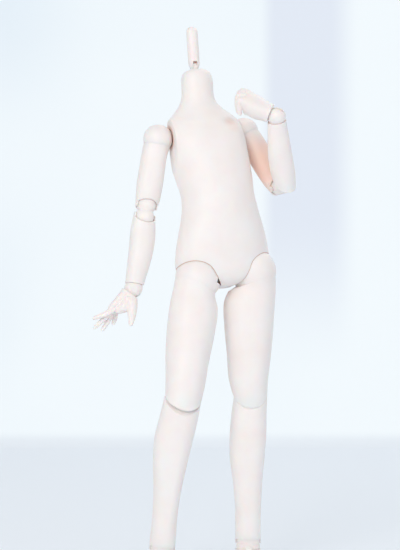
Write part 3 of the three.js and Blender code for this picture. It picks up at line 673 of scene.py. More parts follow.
def torso_shell():
    shell = reshape_points(loft(TORSO_SECTIONS, sides=200, spacing=0.9), front_relief)
    for side in (-1, 1):
        shoulder = (side * SHOULDER_AT[0], *SHOULDER_AT[1:])
        cut(shell, ball(SHOULDER_SOCKET, shoulder, 80), move(arm_room(side), shoulder))
        cut(shell, hub_room(SHOULDER_BALL, HUB_DISC, HUB_THICK, HUB_ROOM_PAST, shoulder, side))
    for side in (-1, 1):
        hip = (side * HIP_AT[0], *HIP_AT[1:])
        cut(shell, ball(HIP_SOCKET, hip, 96), move(below_hip(side, HIP_CUT, HIP_CUT_TILT), hip))
        cut(shell, hub_room(HIP_BALL, HIP_DISC, HIP_DISC_THICK, HIP_ROOM_PAST, hip, side))
    bore = bar(NECK_BORE, NECK_BORE_DEPTH + 2, "z", (0, 0, 1 - NECK_BORE_DEPTH / 2))
    return without_chips(cut(shell, move(turn(bore, "y", NECK_LEAN), (0, 0, TORSO_HEIGHT))))


finish(torso_shell(), "torso_shell", TORSO)
print("torso:", len(made["torso_shell"].data.polygons), "faces")

# %% [markdown]
# ## Neck and peg
#
# The knob stands in the top of the neck. The peg is a straight pin with a round top, and its forked
# foot holds the knob on a steel pin.

# %% Neck knob and head peg
def neck_knob():
    stem_length = NECK_BORE_DEPTH - 1
    stem = bar(NECK_BORE - RUNNING_GAP, stem_length, "z", (0, 0, -stem_length / 2 - KNOB_STEM_DROP))
    head = ball(KNOB_BALL, (0, 0, KNOB_RISE), 48)
    keep(head, block((PEG_SLOT - 2 * SEAM_GAP, 20, 20), (0, 0, KNOB_RISE)))
    foot = bar(KNOB_FOOT, KNOB_FOOT_TALL, "z", (0, 0, -KNOB_FOOT_DROP - KNOB_FOOT_TALL / 2))
    return cut(add(stem, foot, head), pin_hole(NECK_PIN, "x", (0, 0, KNOB_RISE)))


def head_peg():
    """The profile's top is a quarter circle: radius sin b and height cos b, with b from 90 to 0."""
    top = PEG_LENGTH - PEG_RADIUS
    b = np.linspace(math.pi / 2, 0.02, 20)
    dome = np.stack([PEG_RADIUS * np.sin(b), top + PEG_RADIUS * np.cos(b)], -1)
    foot = [(PEG_FOOT, -PEG_FOOT_DROP), (PEG_RADIUS, PEG_FOOT_LENGTH - PEG_FOOT_DROP)]
    peg = lathe(foot + dome.tolist(), 48)
    cut(peg, block((PEG_SLOT, 20, 2 * PEG_SLOT_TOP)))
    return cut(peg, pin_hole(NECK_PIN, "x", length=NECK_PIN_LENGTH))


NECK = frame_from(at("neck_turn"), axis_of("neck_nod"), axis_of("neck_turn"))
PEG = frame_from(at("neck_nod"), axis_of("neck_nod"), axis_of("neck_turn"))
finish(neck_knob(), "neck_knob", NECK)
finish(head_peg(), "head_peg", PEG)
print("the peg's top is", round(PEG_LENGTH + KNOB_RISE, 1), "mm above the neck's")

# %% [markdown]
# ## Arms
#
# The round top of the arm holds a post, and the upper arm turns on it at a seam just below the
# shoulder. The elbow has two round heads on two pins, which lets the arm fold right up.

# %% Arm pieces
def double_link(radius, spacing, pin, second="x"):
    link = add(ball(radius), ball(radius, (0, 0, -spacing)))
    return cut(link, pin_hole(pin, "x"), pin_hole(pin, second, (0, 0, -spacing)))


def shoulder_ball(side):
    dome = keep(ball(SHOULDER_BALL, around=80), above(-ARM_SEAM_DROP))
    length = ARM_POST_LENGTH + OVERLAP
    add(dome, bar(ARM_POST, length, "z", (0, 0, OVERLAP - ARM_SEAM_DROP - length / 2)))
    room = tongue_room(side, 2 * SHOULDER_BALL, SHOULDER_EYE, SHOULDER_TONGUE, ARM_LIFTS)
    return cut(dome, room, pin_hole(SHOULDER_PIN, "y", length=SHOULDER_PIN_LENGTH))


def elbow_rim(up):
    return add(past_plane(up, -1, ELBOW_BALL, ELBOW_CREASE, ELBOW_BACK), bar(ELBOW_EAR, 40, "x"))


def upper_arm(side):
    elbow = (0, 0, -UPPER_ARM_LENGTH)
    bore_length = ARM_POST_LENGTH + 2 * OVERLAP
    bore_middle = (0, 0, OVERLAP - ARM_SEAM_DROP - bore_length / 2)
    limb = keep(loft(UPPER_ARM_SECTIONS, side), move(elbow_rim(1), elbow))
    cut(limb, cup(ELBOW_BALL, elbow))
    return cut(limb, bar(ARM_POST + RUNNING_GAP, bore_length, "z", bore_middle))


def forearm(side):
    bore_length = WRIST_POST_LENGTH + OVERLAP
    bore_middle = (0, 0, -FOREARM_LENGTH - OVERLAP + bore_length / 2)
    limb = keep(loft(FOREARM_SECTIONS, side), elbow_rim(-1))
    cut(limb, cup(ELBOW_BALL))
    return cut(limb, bar(WRIST_POST + RUNNING_GAP, bore_length, "z", bore_middle))


def wrist_ball(bends):
    top = WRIST_DROP - LIMB_GAP
    dome = keep(ball(WRIST_BALL), below(top))
    post_middle = top + WRIST_POST_LENGTH / 2 - WRIST_POST_SUNK
    add(dome, bar(WRIST_POST, WRIST_POST_LENGTH, "z", (0, 0, post_middle)))
    width = WRIST_TONGUE + 2 * SEAM_GAP
    eye = WRIST_EYE + SEAM_GAP
    slot = fan(eye, *bends, 2 * WRIST_BALL, width, (0, 0, -1), (0, 1, 0))
    cut(dome, add(slot, bar(eye, width, "x")))
    return cut(dome, pin_hole(WRIST_PIN, "x", length=WRIST_PIN_LENGTH))


print("elbow: two heads of", ELBOW_BALL, "mm on pins", ELBOW_SPACING, "mm apart")

# %% [markdown]
# ## Hands
#
# A palm is a loft. A finger, a thumb or the ball of the thumb is a round tube on a smooth path: its
# points (towards the outer side, towards the back of the hand, up), then its radii from root to tip.
# The right hand is open and relaxed, and the left one is a fist.

# %% The two hands in numbers
OPEN_PALM = np.array([
    (-24.0, 7.6, 6.8, 2.2, 2.2),
    (-22.0, 8.6, 7.8, 3.0, 3.0),
    (-15.0, 8.8, 8.2, 4.6, 3.8),
    (-10.5, 8.2, 7.8, 5.6, 4.2),
    (-7.0, 7.3, 7.2, 6.6, 4.8),
    (-4.0, 6.9, 6.9, 7.2, 5.2),
    (0.0, 6.9, 6.9, 7.6, 5.6),
])
CLOSED_PALM = np.array([
    (-26.0, 8.8, 8.6, 6.6, 4.4),
    (-20.0, 9.2, 9.2, 9.4, 5.6),
    (-14.0, 9.0, 9.0, 9.8, 5.6),
    (-10.0, 8.2, 8.2, 8.7, 5.7),
    (-7.0, 7.4, 7.4, 7.6, 6.2),
    (-4.0, 7.1, 7.1, 7.1, 6.7),
    (0.0, 7.0, 7.0, 7.0, 6.8),
])
OPEN_HAND = (
    (((4.6, -2.6, -15), (5.7, -4.0, -22), (6.0, -2.8, -29), (6.0, -0.2, -36.2)),
     (3.0, 2.2, 1.85, 1.3)),
    (((1.8, -2.4, -15), (2.0, -3.6, -23), (1.8, -4.7, -31), (1.6, -5.6, -40.4)),
     (3.0, 2.3, 1.9, 1.3)),
    (((-1.6, -2.6, -15), (-2.0, -4.2, -22.5), (-2.2, -7.3, -30), (-2.4, -9.8, -37)),
     (3.0, 2.2, 1.8, 1.2)),
    (((-4.6, -2.8, -14), (-5.6, -4.6, -20.5), (-5.8, -8.2, -24.6), (-5.4, -10.6, -28.4)),
     (2.8, 2.1, 1.7, 1.1)),
    (((1.5, -4.0, -5), (4.4, -9.2, -7.6), (5.8, -15.0, -11.6), (6.0, -21.8, -17.8)),
     (4.6, 4.4, 3.3, 1.5)),
    (((3.4, -4.8, -7), (4.6, -7.2, -13), (5.2, -5.6, -20.5)),
     (4.6, 4.5, 2.6)),
)
CLOSED_HAND = (
    (((5.2, 0.6, -18), (6.4, 0.2, -29.4), (6.0, -6.2, -28.6), (5.2, -11.4, -24.4)),
     (3.0, 3.0, 2.4, 1.8)),
    (((1.8, 0.8, -18), (2.2, 0.6, -29.8), (2.0, -6.2, -28.8), (1.8, -12.2, -25.0)),
     (3.1, 3.1, 2.5, 1.8)),
    (((-1.8, 0.6, -18), (-2.2, 0.4, -29.4), (-2.2, -6.0, -28.2), (-2.2, -12.0, -24.6)),
     (3.0, 3.0, 2.4, 1.7)),
    (((-5.0, 0.2, -17), (-6.0, -0.4, -27.6), (-6.0, -6.0, -26.2), (-5.8, -11.0, -22.8)),
     (2.8, 2.8, 2.2, 1.5)),
    (((4.0, -4.0, -8), (6.4, -8.0, -13), (4.6, -10.0, -18.5), (0.6, -10.6, -22.0)),
     (4.2, 3.6, 2.9, 2.0)),
)
OPEN_RIM = (-4.4, 17)
CLOSED_RIM = (-5.1, 9.6)
PALM_LEAN = 0.17
HAND_RIM = 5.6
print("the open hand reaches", -min(path[-1][2] for path, _ in OPEN_HAND), "mm below the wrist")

# %% [markdown]
# Palm, fingers and thumb are joined, turned into one even skin and relaxed, so that the webs between
# the fingers run smoothly into the palm. The opening for the wrist is cut last.

# %% Hand pieces
HAND_VOXEL = 0.26
HAND_RELAX = 7


def smooth_path(points, count):
    """A Catmull-Rom curve: between two points it is a cubic of the four points around."""
    p = np.vstack([2 * points[0] - points[1], points, 2 * points[-1] - points[-2]])
    t = np.linspace(0, len(points) - 1, count)
    k = np.minimum(t.astype(int), len(points) - 2)
    u = (t - k)[:, None]
    a, b, c, d = p[k], p[k + 1], p[k + 2], p[k + 3]
    square, cube = 2 * a - 5 * b + 4 * c - d, 3 * b - a - 3 * c + d
    return 0.5 * (2 * b + (c - a) * u + square * u**2 + cube * u**3)


def finger(points, radii, count=40, sides=24):
    """Rings across a path; at the tip the radius falls as the square root of 1 minus t squared."""
    points = np.array(points, float)
    path = smooth_path(points, count)
    along = np.gradient(path, axis=0)
    along /= np.linalg.norm(along, axis=1)[:, None]
    length = np.concatenate([[0], np.cumsum(np.linalg.norm(np.diff(path, axis=0), axis=1))])
    radius = np.interp(np.linspace(0, 1, count), np.linspace(0, 1, len(radii)), radii)
    tip = np.clip((length - length[-1] + radii[-1]) / radii[-1], 0, 1)
    radius = radius * np.sqrt(np.clip(1 - tip**2, 0.01, 1))
    across = np.cross(along, (1.0, 0.0, 0.0))
    across /= np.linalg.norm(across, axis=1)[:, None]
    other = np.cross(along, across)
    a = ring_angles(sides)
    offset = np.cos(a)[None, :, None] * across[:, None] + np.sin(a)[None, :, None] * other[:, None]
    return skin(path[:, None] + radius[:, None, None] * offset)


def hand(side, palm_sections, fingers, rim):
    """The open palm leans forward: below the rim, y falls by a constant times the drop."""
    palm = loft(palm_sections, side, 64, 0.7)
    if side < 0:
        def lean(points):
            drop = np.minimum(points[:, 2] + HAND_RIM, 0)
            return points + np.outer(PALM_LEAN * drop, (0, 1, 0))
        reshape_points(palm, lean)
    for path, radii in fingers:
        add(palm, finger(np.array(path, float) * (side, 1, 1), radii))
    return wrist_fit(relaxed(palm), *rim)


def relaxed(solid):
    """One even skin of small squares, each point then drawn towards the mean of its neighbours."""
    remesh = solid.modifiers.new("skin", "REMESH")
    remesh.mode = "VOXEL"
    remesh.voxel_size = HAND_VOXEL
    smooth = solid.modifiers.new("relax", "SMOOTH")
    smooth.factor = 0.5
    smooth.iterations = HAND_RELAX
    return applied(solid)


def forearm_room(bend):
    """Where the forearm's end stands at the wrist's limit, as the hand sees it."""
    reach = 24
    return turn(bar(FOREARM_END, reach, "z", (0, 0, WRIST_DROP - SEAM_GAP + reach / 2)), "x", -bend)


def wrist_fit(solid, height, tilt):
    """A slanting rim, the cup for the wrist ball, and the tongue with its eye for the pin."""
    keep(solid, move(turn(below(0, 100), "x", -tilt), (0, 0, height)))
    cut(solid, cup(WRIST_BALL))
    size = (WRIST_TONGUE, 2 * WRIST_EYE, WRIST_TONGUE_LENGTH)
    stem = block(size, (0, 0, -WRIST_TONGUE_LENGTH / 2))
    return cut(add(solid, stem, bar(WRIST_EYE, WRIST_TONGUE, "x")), pin_hole(WRIST_PIN, "x"))


for name, side in (("right", -1), ("left", 1)):
    shoulder, wrist = at(name + "_shoulder_lift"), at(name + "_wrist_bend")
    upper, lower = at(name + "_elbow_upper"), at(name + "_elbow_lower")
    arm_up, forearm_up = axis_of(name + "_arm_turn"), axis_of(name + "_wrist_turn")
    elbow_axis = axis_of(name + "_elbow_upper")
    lift_axis = axis_of(name + "_shoulder_lift")
    ball_frame = frame_from(shoulder, np.cross(lift_axis, arm_up), arm_up)
    wrist_frame = frame_from(wrist, axis_of(name + "_wrist_bend"), forearm_up)
    finish(shoulder_ball(side), "shoulder_ball_" + name, ball_frame)
    finish(upper_arm(side), "upper_arm_" + name, frame_from(shoulder, elbow_axis, arm_up))
    link = double_link(ELBOW_BALL, ELBOW_SPACING, ELBOW_PIN)
    finish(link, "elbow_link_" + name, frame_from(upper, elbow_axis, upper - lower))
    finish(forearm(side), "forearm_" + name, frame_from(lower, elbow_axis, forearm_up))
    finish(wrist_ball(WRIST_BENDS[name]), "wrist_ball_" + name, wrist_frame)
    if side < 0:
        posed = hand(side, OPEN_PALM, OPEN_HAND, OPEN_RIM)
    else:
        posed = hand(side, CLOSED_PALM, CLOSED_HAND, CLOSED_RIM)
        cut(posed, forearm_room(WRIST_BENDS[name][0]))
    finish(posed, "hand_" + name, turned_about(wrist_frame, HAND_BEND[name]))
print("hands:", [len(made["hand_" + name].data.polygons) for name in ("right", "left")], "faces")

# %% [markdown]
# ## Legs
#
# The thigh's round top is the hip ball. Its rim above the knee is low at the front and high at the
# back, and the shin follows it, so the closed knee shows one fine U-shaped seam.

# %% Leg pieces
def swayed(sections, sway):
    """The sections with the sway's gain, which runs on straight lines between its rows."""
    height, outer, inner = np.array(sway, float).T
    out = sections.copy()
    out[:, 1] += np.interp(out[:, 0], height, outer)
    out[:, 2] += np.interp(out[:, 0], height, inner)
    return out


def thigh(side, lifts, sway):
    knee = (0, 0, -THIGH_LENGTH)
    cavity = ball(HIP_BLOCK + RUNNING_GAP)
    length = HIP_POST_LENGTH + OVERLAP
    add(cavity, bar(HIP_POST + RUNNING_GAP, length, "z", (0, 0, -HIP_POST_FROM - length / 2)))
    add(cavity, tongue_room(side, 2 * HIP_BALL, HIP_EYE, HIP_TONGUE, lifts, LEG_TURNS))

    def under(tilt, back=0):
        return turn(below_hip(side, HIP_CUT + SEAM_GAP, HIP_CUT_TILT + tilt), "x", back)

    roof = keep(under(HIP_INWARD), under(-HIP_OUTWARD))
    keep(roof, under(HIP_INWARD / 2, HIP_BACKWARD), under(HIP_INWARD / 2, -HIP_BACKWARD))
    limb = keep(loft(swayed(THIGH_SECTIONS, sway), side, 128), roof)
    add(limb, ball(HIP_BALL, around=128))
    keep(limb, move(past_plane(1, 1, KNEE_BALL, KNEE_CREASE, KNEE_FRONT), knee))
    lower_head = (0, 0, -THIGH_LENGTH - KNEE_SPACING)
    return cut(limb, cup(KNEE_BALL, knee), cup(KNEE_BALL, lower_head), cavity)


def shin(side, sway, gap):
    ankle = (0, 0, -SHIN_LENGTH)
    front, back = KNEE_FRONT - KNEE_SPACING + gap, KNEE_CREASE + KNEE_SPACING - gap
    rim = turn(past_plane(-1, -1, KNEE_BALL, front, back), "x", -KNEE_SET)
    keep(rim, past_plane(-1, 1, KNEE_BALL, KNEE_HOLLOW, KNEE_RIDGE))
    keep(rim, below(KNEE_TOP, 300))
    ankle_rim = add(past_plane(1, -1, ANKLE_BALL, ANKLE_RIM, -ANKLE_RIM), bar(ANKLE_EAR, 60, "x"))
    limb = keep(loft(swayed(SHIN_SECTIONS, sway), side, 128), rim, move(ankle_rim, ankle))
    for bend in range(0, KNEE_STAGE + 1, KNEE_STEP):
        t = math.radians(bend)
        upper_head = (0, KNEE_SPACING * math.sin(t), KNEE_SPACING * math.cos(t))
        cut(limb, cup(KNEE_BALL, upper_head))
    return cut(limb, cup(KNEE_BALL), cup(ANKLE_BALL, ankle))


def foot(side):
    rim = add(past_plane(-1, -1, ANKLE_BALL, ANKLE_RIM, -ANKLE_RIM), bar(ANKLE_EAR, 60, "y"))
    shell = keep(loft(FOOT_SECTIONS, side, 128, 0.6), rim)
    return cut(shell, cup(ANKLE_BALL), cup(ANKLE_BALL, (0, 0, ANKLE_SPACING)))


for name, side in (("right", -1), ("left", 1)):
    hip, upper, lower = at(name + "_hip_lift"), at(name + "_knee_upper"), at(name + "_knee_lower")
    ankle, sole = at(name + "_ankle_bend"), at(name + "_ankle_tilt")
    knee_axis, ankle_axis = axis_of(name + "_knee_upper"), axis_of(name + "_ankle_bend")
    tilt_axis = axis_of(name + "_ankle_tilt")
    level = np.array((0.0, 0.0, 1.0))
    thigh_frame = frame_from(hip, knee_axis, axis_of(name + "_thigh_turn"))
    finish(thigh(side, LEG_LIFTS[name], THIGH_SWAY[name]), "thigh_" + name, thigh_frame)
    link = double_link(KNEE_BALL, KNEE_SPACING, KNEE_PIN)
    finish(link, "knee_link_" + name, frame_from(upper, knee_axis, upper - lower))
    shin_frame = frame_from(lower, knee_axis, lower - ankle)
    finish(shin(side, SHIN_SWAY[name], KNEE_GAPS[name]), "shin_" + name, shin_frame)
    link = double_link(ANKLE_BALL, ANKLE_SPACING, ANKLE_PIN, "y")
    finish(link, "ankle_link_" + name, frame_from(ankle, ankle_axis, ankle - sole))
    finish(foot(side), "foot_" + name, frame_from(sole, np.cross(tilt_axis, level), level))
print("made", len(made), "pieces")

# %% [markdown]
# ## Pale moulded plastic
#
# The skin is a pale pinkish white. It is a little uneven in colour and gloss, as cast plastic is, and
# lets a little light through. A fine brownish line of painted shade runs along the rim of a socket,
# where the gap lies in shade, and places that lie in warm shade are painted peach, as painted warm
# shade. Both go by the distance from a centre, in object coordinates: full strength within one
# radius, none past another, smooth in between.

# %% Plastic material
SKIN = "#f8f1ed"
BLUSH = "#f6ece7"
# Painted warm shade: the peach given to places that lie in shade filled with warm light.
WARM_SHADE = "#efb394"
# Painted shade: the colour of the fine brownish line along a socket's rim, where the gap lies in shade, and the
# width of that line in mm.
SEAM_SHADE = "#cf9479"
SEAM_SHADE_WIDTH = 0.55
ROUGH = (0.40, 0.52)
MOTTLE_SCALE = 55
GLOSS_SCALE = 420
GRAIN_SCALE = 2600
GRAIN_DEPTH = 0.03 * MM
DEPTH_OF_PLASTIC = {
    "Subsurface Weight": 0.35,
    "Subsurface Radius": (1.0, 0.45, 0.3),
    "Subsurface Scale": 2.2 * MM,
    "Specular IOR Level": 0.4,
}


def linear(code):
    """An sRGB colour code as linear light: each channel to the power 2.4 after a small offset."""
    c = np.array([int(code[i:i + 2], 16) for i in (1, 3, 5)]) / 255
    c = np.where(c <= 0.04045, c / 12.92, ((c + 0.055) / 1.055) ** 2.4)
    return (*c.tolist(), 1.0)


def material(name):
    m = bpy.data.materials.new(name)
    m.use_nodes = True
    tree = m.node_tree
    shader = tree.nodes["Principled BSDF"]
    return m, tree, shader


def node(tree, kind, inputs=(), **settings):
    made_node = tree.nodes.new("ShaderNode" + kind)
    for key, value in settings.items():
        setattr(made_node, key, value)
    for key, value in dict(inputs).items():
        if isinstance(value, bpy.types.NodeSocket):
            tree.links.new(value, made_node.inputs[key])
        else:
            made_node.inputs[key].default_value = value
    return made_node


def noise(tree, place, scale, detail):
    settings = {"Vector": place, "Scale": scale, "Detail": detail}
    return node(tree, "TexNoise", settings).outputs[0]


def roughness(tree, value, least, most):
    return node(tree, "MapRange", {"Value": value, "To Min": least, "To Max": most}).outputs[0]


def ramp(tree, value, start, end, most=1.0):
    """0 at `start`, `most` at `end`, on a smooth step in between, the same beyond them."""
    ends = {"Value": value, "From Min": start, "From Max": end, "To Max": most}
    return node(tree, "MapRange", ends, interpolation_type="SMOOTHSTEP").outputs["Result"]


def times(tree, first, second):
    return node(tree, "Math", {0: first, 1: second}, operation="MULTIPLY").outputs[0]


def near(tree, place, spot):
    """The strength within `inner` mm of the spot's centre, and 0 past `outer`."""
    centre, inner, outer, strength = spot
    distance = node(tree, "VectorMath", {0: place, 1: tuple(centre)}, operation="DISTANCE")
    mask = ramp(tree, distance.outputs["Value"], outer * MM, inner * MM)
    return times(tree, mask, strength)


def strongest(tree, masks):
    result = masks[0]
    for mask in masks[1:]:
        result = node(tree, "Math", {0: result, 1: mask}, operation="MAXIMUM").outputs[0]
    return result


def mixed(tree, factor, first, second):
    """A colour between two: first + factor * (second - first)."""
    return node(tree, "Mix", {0: factor, 6: first, 7: second}, data_type="RGBA").outputs[2]


def lay(tree, shader, colour, rough, bump):
    for socket, value in (("Base Color", colour), ("Roughness", rough), ("Normal", bump.outputs[0])):
        tree.links.new(value, shader.inputs[socket])


def plastic(name, seam_shades=(), glow=(), base=SKIN):
    """Cast plastic: a seam shade (centre, radius, strength) is a painted line of shade along a socket's rim, a
    glow (centre, inner, outer, strength) a spot of painted warm shade.
    """
    m, tree, shader = material(name)
    place = node(tree, "TexCoord").outputs["Object"]
    mottle = noise(tree, place, MOTTLE_SCALE, 3.0)
    cloud = node(tree, "MapRange", {"Value": mottle, "From Min": 0.35, "From Max": 0.75}).outputs[0]
    colour = mixed(tree, cloud, linear(base), linear(BLUSH))
    # Peach spots of painted warm shade and fine lines of painted shade along the socket rims are mixed into the
    # colour.
    seam_shade_spots = [(centre, radius, radius + SEAM_SHADE_WIDTH, strength) for centre, radius, strength in seam_shades]
    for spots, tint in ((glow, WARM_SHADE), (seam_shade_spots, SEAM_SHADE)):
        if spots:
            mask = strongest(tree, [near(tree, place, spot) for spot in spots])
            colour = mixed(tree, mask, colour, linear(tint))
    rough = roughness(tree, noise(tree, place, GLOSS_SCALE, 2.0), *ROUGH)
    grain = noise(tree, place, GRAIN_SCALE, 2.0)
    bump = node(tree, "Bump", {"Height": grain, "Strength": 0.25, "Distance": GRAIN_DEPTH})
    lay(tree, shader, colour, rough, bump)
    for socket, value in DEPTH_OF_PLASTIC.items():
        shader.inputs[socket].default_value = value
    return m


def wear(piece, m):
    piece.data.materials.clear()
    piece.data.materials.append(m)


print("skin in linear light:", [round(c, 3) for c in linear(SKIN)])

# %% [markdown]
# ## A material for each piece
#
# A piece has its painted lines of shade at the joints that it meets. The raised upper arm lies in the
# shade between the chest and the forearm, which fill it with warm light, so it is painted peach almost
# all along, as painted warm shade, and so is the inner side of the left thigh.

# %% Give the pieces their plastic
# Each joint's socket radius and the strength of its painted line of shade.
JOINT_SEAM_SHADES = {
    "shoulder": (SHOULDER_SOCKET, 0.9),
    "hip": (HIP_SOCKET, 0.7),
    "elbow": (ELBOW_BALL + CUP_GAP, 0.45),
    "wrist": (WRIST_BALL + CUP_GAP, 0.35),
    "ankle": (ANKLE_BALL + CUP_GAP, 0.1),
}
UNDER_COLLAR = (16.5, -17, 116)
ARM_SHADE_AT = 0.62
LEG_SHADE_ASIDE = -17.5
LEG_SHADES = ((0.20, 0.5), (0.30, 0.5), (0.40, 0.5), (0.50, 0.4), (0.60, 0.3), (0.70, 0.2))


def seam_shade(joint, kind):
    return at(joint), *JOINT_SEAM_SHADES[kind]


def on_torso(x, y, z):
    """A place given in the torso's own millimetres, in metres in the scene."""
    return TORSO[:3, 3] + TORSO[:3, :3] @ (MM * np.array((x, y, z)))


shoulders = ("right_shoulder_lift", "left_shoulder_lift")
both_hips = ("right_hip_lift", "left_hip_lift")
torso_seam_shades = [seam_shade(joint, "shoulder") for joint in shoulders]
torso_seam_shades += [seam_shade(joint, "hip") for joint in both_hips]
# Painted warm shade on the torso: a hollow under the left collar bone, the inside of the hip cups, and a band
# round each shoulder socket.
torso_warm_shade = [(on_torso(*UNDER_COLLAR), 1, 9, 0.24)]
torso_warm_shade += [(at(joint), HIP_SOCKET, HIP_SOCKET + 0.3, 1.0) for joint in both_hips]
torso_warm_shade += [(at(joint), SHOULDER_SOCKET, SHOULDER_SOCKET + 2.5, 0.75) for joint in shoulders]
wear(made["torso_shell"], plastic("torso_plastic", torso_seam_shades, torso_warm_shade))
wear(made["neck_knob"], plastic("knob_plastic", base=BLUSH))
# Painted warm shade inside the slot of the peg's forked foot.
slot_top = at("neck_nod") + PEG_SLOT_TOP * MM * PEG[:3, 2]
wear(made["head_peg"], plastic("peg_plastic", glow=[(slot_top, 1.6, 2.6, 0.8)]))

for s in ("right", "left"):
    shoulder, elbow = at(s + "_shoulder_lift"), at(s + "_elbow_upper")
    hip, knee = at(s + "_hip_lift"), at(s + "_knee_upper")
    # Painted warm shade inside the hip ball's cavity; on the left side it also runs along the raised upper arm and
    # the thigh's inner side.
    arm_warm_shade, leg_warm_shade = [], [(hip, HIP_BALL - 2.5, HIP_BALL - 0.8, 1.0)]
    if s == "left":
        arm_warm_shade = [(shoulder + ARM_SHADE_AT * (elbow - shoulder), 9, 30, 0.5)]
        inner_side = LEG_SHADE_ASIDE * MM * axis_of("left_knee_upper")
        leg_warm_shade += [(hip + share * (knee - hip) + inner_side, 0, 8.5, strength)
                     for share, strength in LEG_SHADES]
    looks = {
        "shoulder_ball": {"glow": arm_warm_shade},
        "upper_arm": {"seam_shades": [seam_shade(s + "_elbow_upper", "elbow")], "glow": arm_warm_shade},
        "elbow_link": {},
        "forearm": {"seam_shades": [seam_shade(s + "_elbow_lower", "elbow"), seam_shade(s + "_wrist_bend", "wrist")]},
        "wrist_ball": {},
        "hand": {},
        "thigh": {"glow": leg_warm_shade},
        "knee_link": {},
        "shin": {"seam_shades": [seam_shade(s + "_ankle_bend", "ankle")]},
        "ankle_link": {"base": BLUSH},
        "foot": {},
    }
    for piece, look in looks.items():
        part = piece.removesuffix("_ball").removesuffix("_link")
        wear(made[piece + "_" + s], plastic(part + "_plastic_" + s, **look))
print("plastics:", sum("plastic" in m.name for m in bpy.data.materials))

# %% [markdown]
# ## Steel pins and inner pieces
#
# The pins are drawn steel: fine grains of darker and brighter metal. The hubs and the hip's inner
# block are the same plastic family, duller and warmer, because they sit in the shade of the shells.

# %% Steel and inner plastic
STEEL = "#b9bcc0"
STEEL_DARK = "#8d9094"
STEEL_ROUGH = (0.22, 0.42)
STREAK_SCALE = 1800
STREAK_DEPTH = 0.02 * MM
INNER = "#dcc8be"


def steel():
    m, tree, shader = material("drawn_steel")
    place = node(tree, "TexCoord").outputs["Object"]
    streak = noise(tree, place, STREAK_SCALE, 4.0)
    colour = mixed(tree, streak, linear(STEEL), linear(STEEL_DARK))
    rough = roughness(tree, streak, *STEEL_ROUGH)
    bump = node(tree, "Bump", {"Height": streak, "Strength": 0.2, "Distance": STREAK_DEPTH})
    lay(tree, shader, colour, rough, bump)
    shader.inputs["Metallic"].default_value = 1.0
    return m


steel_material = steel()
inner_material = plastic("inner_plastic", base=INNER)
kept = [name for name in frame["nodes"] if name not in made]
for name in kept:
    wear(frame["nodes"][name], steel_material if "pin" in name else inner_material)
print(len(kept), "CAD nodes keep their shape:", sorted({n.rsplit("_", 1)[0] for n in kept}))

# %% [markdown]
# ## Floor and backdrop
#
# One smooth sheet: a flat floor, a quarter of a circle, and an upright wall behind the doll. The wall
# is pale blue-white, with a soft darker corner at the upper left and, at the right, a broad pale band
# of painted shade, a little darker than the wall, as in the photograph. The camera sees most of its
# colour unlit; on the floor the shadow stays.

# %% Stage
WALL_AT = 0.87
SWEEP = 0.03
WALL_TOP = 1.6
FLOOR_FRONT = -2.2
STAGE_HALF = 2.4
UNDER_SOLES = 0.0002


def stage_profile():
    """y and z along the sheet: floor, then y = a + r sin b and z = r - r cos b, then the wall."""
    b = np.linspace(0, math.pi / 2, 24)
    bend = np.column_stack([WALL_AT - SWEEP + SWEEP * np.sin(b), SWEEP - SWEEP * np.cos(b)])
    return np.vstack([[(FLOOR_FRONT, 0)], bend, [(WALL_AT, WALL_TOP)]])


def stage():
    profile = stage_profile()
    xs = np.linspace(-STAGE_HALF, STAGE_HALF, 9)
    points = np.array([(x, y, z - UNDER_SOLES) for y, z in profile for x in xs])
    row, col = np.meshgrid(np.arange(len(profile) - 1), np.arange(len(xs) - 1), indexing="ij")
    a = (row * len(xs) + col).ravel()
    faces = np.stack([a, a + 1, a + len(xs) + 1, a + len(xs)], -1)
    mesh = bpy.data.meshes.new("stage")
    mesh.from_pydata(points.tolist(), [], faces.tolist())
    mesh.polygons.foreach_set("use_smooth", np.ones(len(faces), bool))
    sheet = bpy.data.objects.new("stage", mesh)
    bpy.context.scene.collection.objects.link(sheet)
    return sheet


BACKDROP = "#f4fbff"
CORNER = "#e8f2fa"
BAND_SHADE = "#e4ebf6"
FLOOR = "#eef3f8"
CLOUDS_SCALE = 3
BAND_FROM, BAND_TO, BAND_RISE = (0.078, 0.100), (0.205, 0.165), (0.08, 0.30)
CORNER_ASIDE, CORNER_RISE = (-0.10, -0.24), (0.34, 0.54)
FOOT_OF_WALL = (0.0, 0.02)
WALL_GLOW, FLOOR_GLOW = 0.92, 0.4


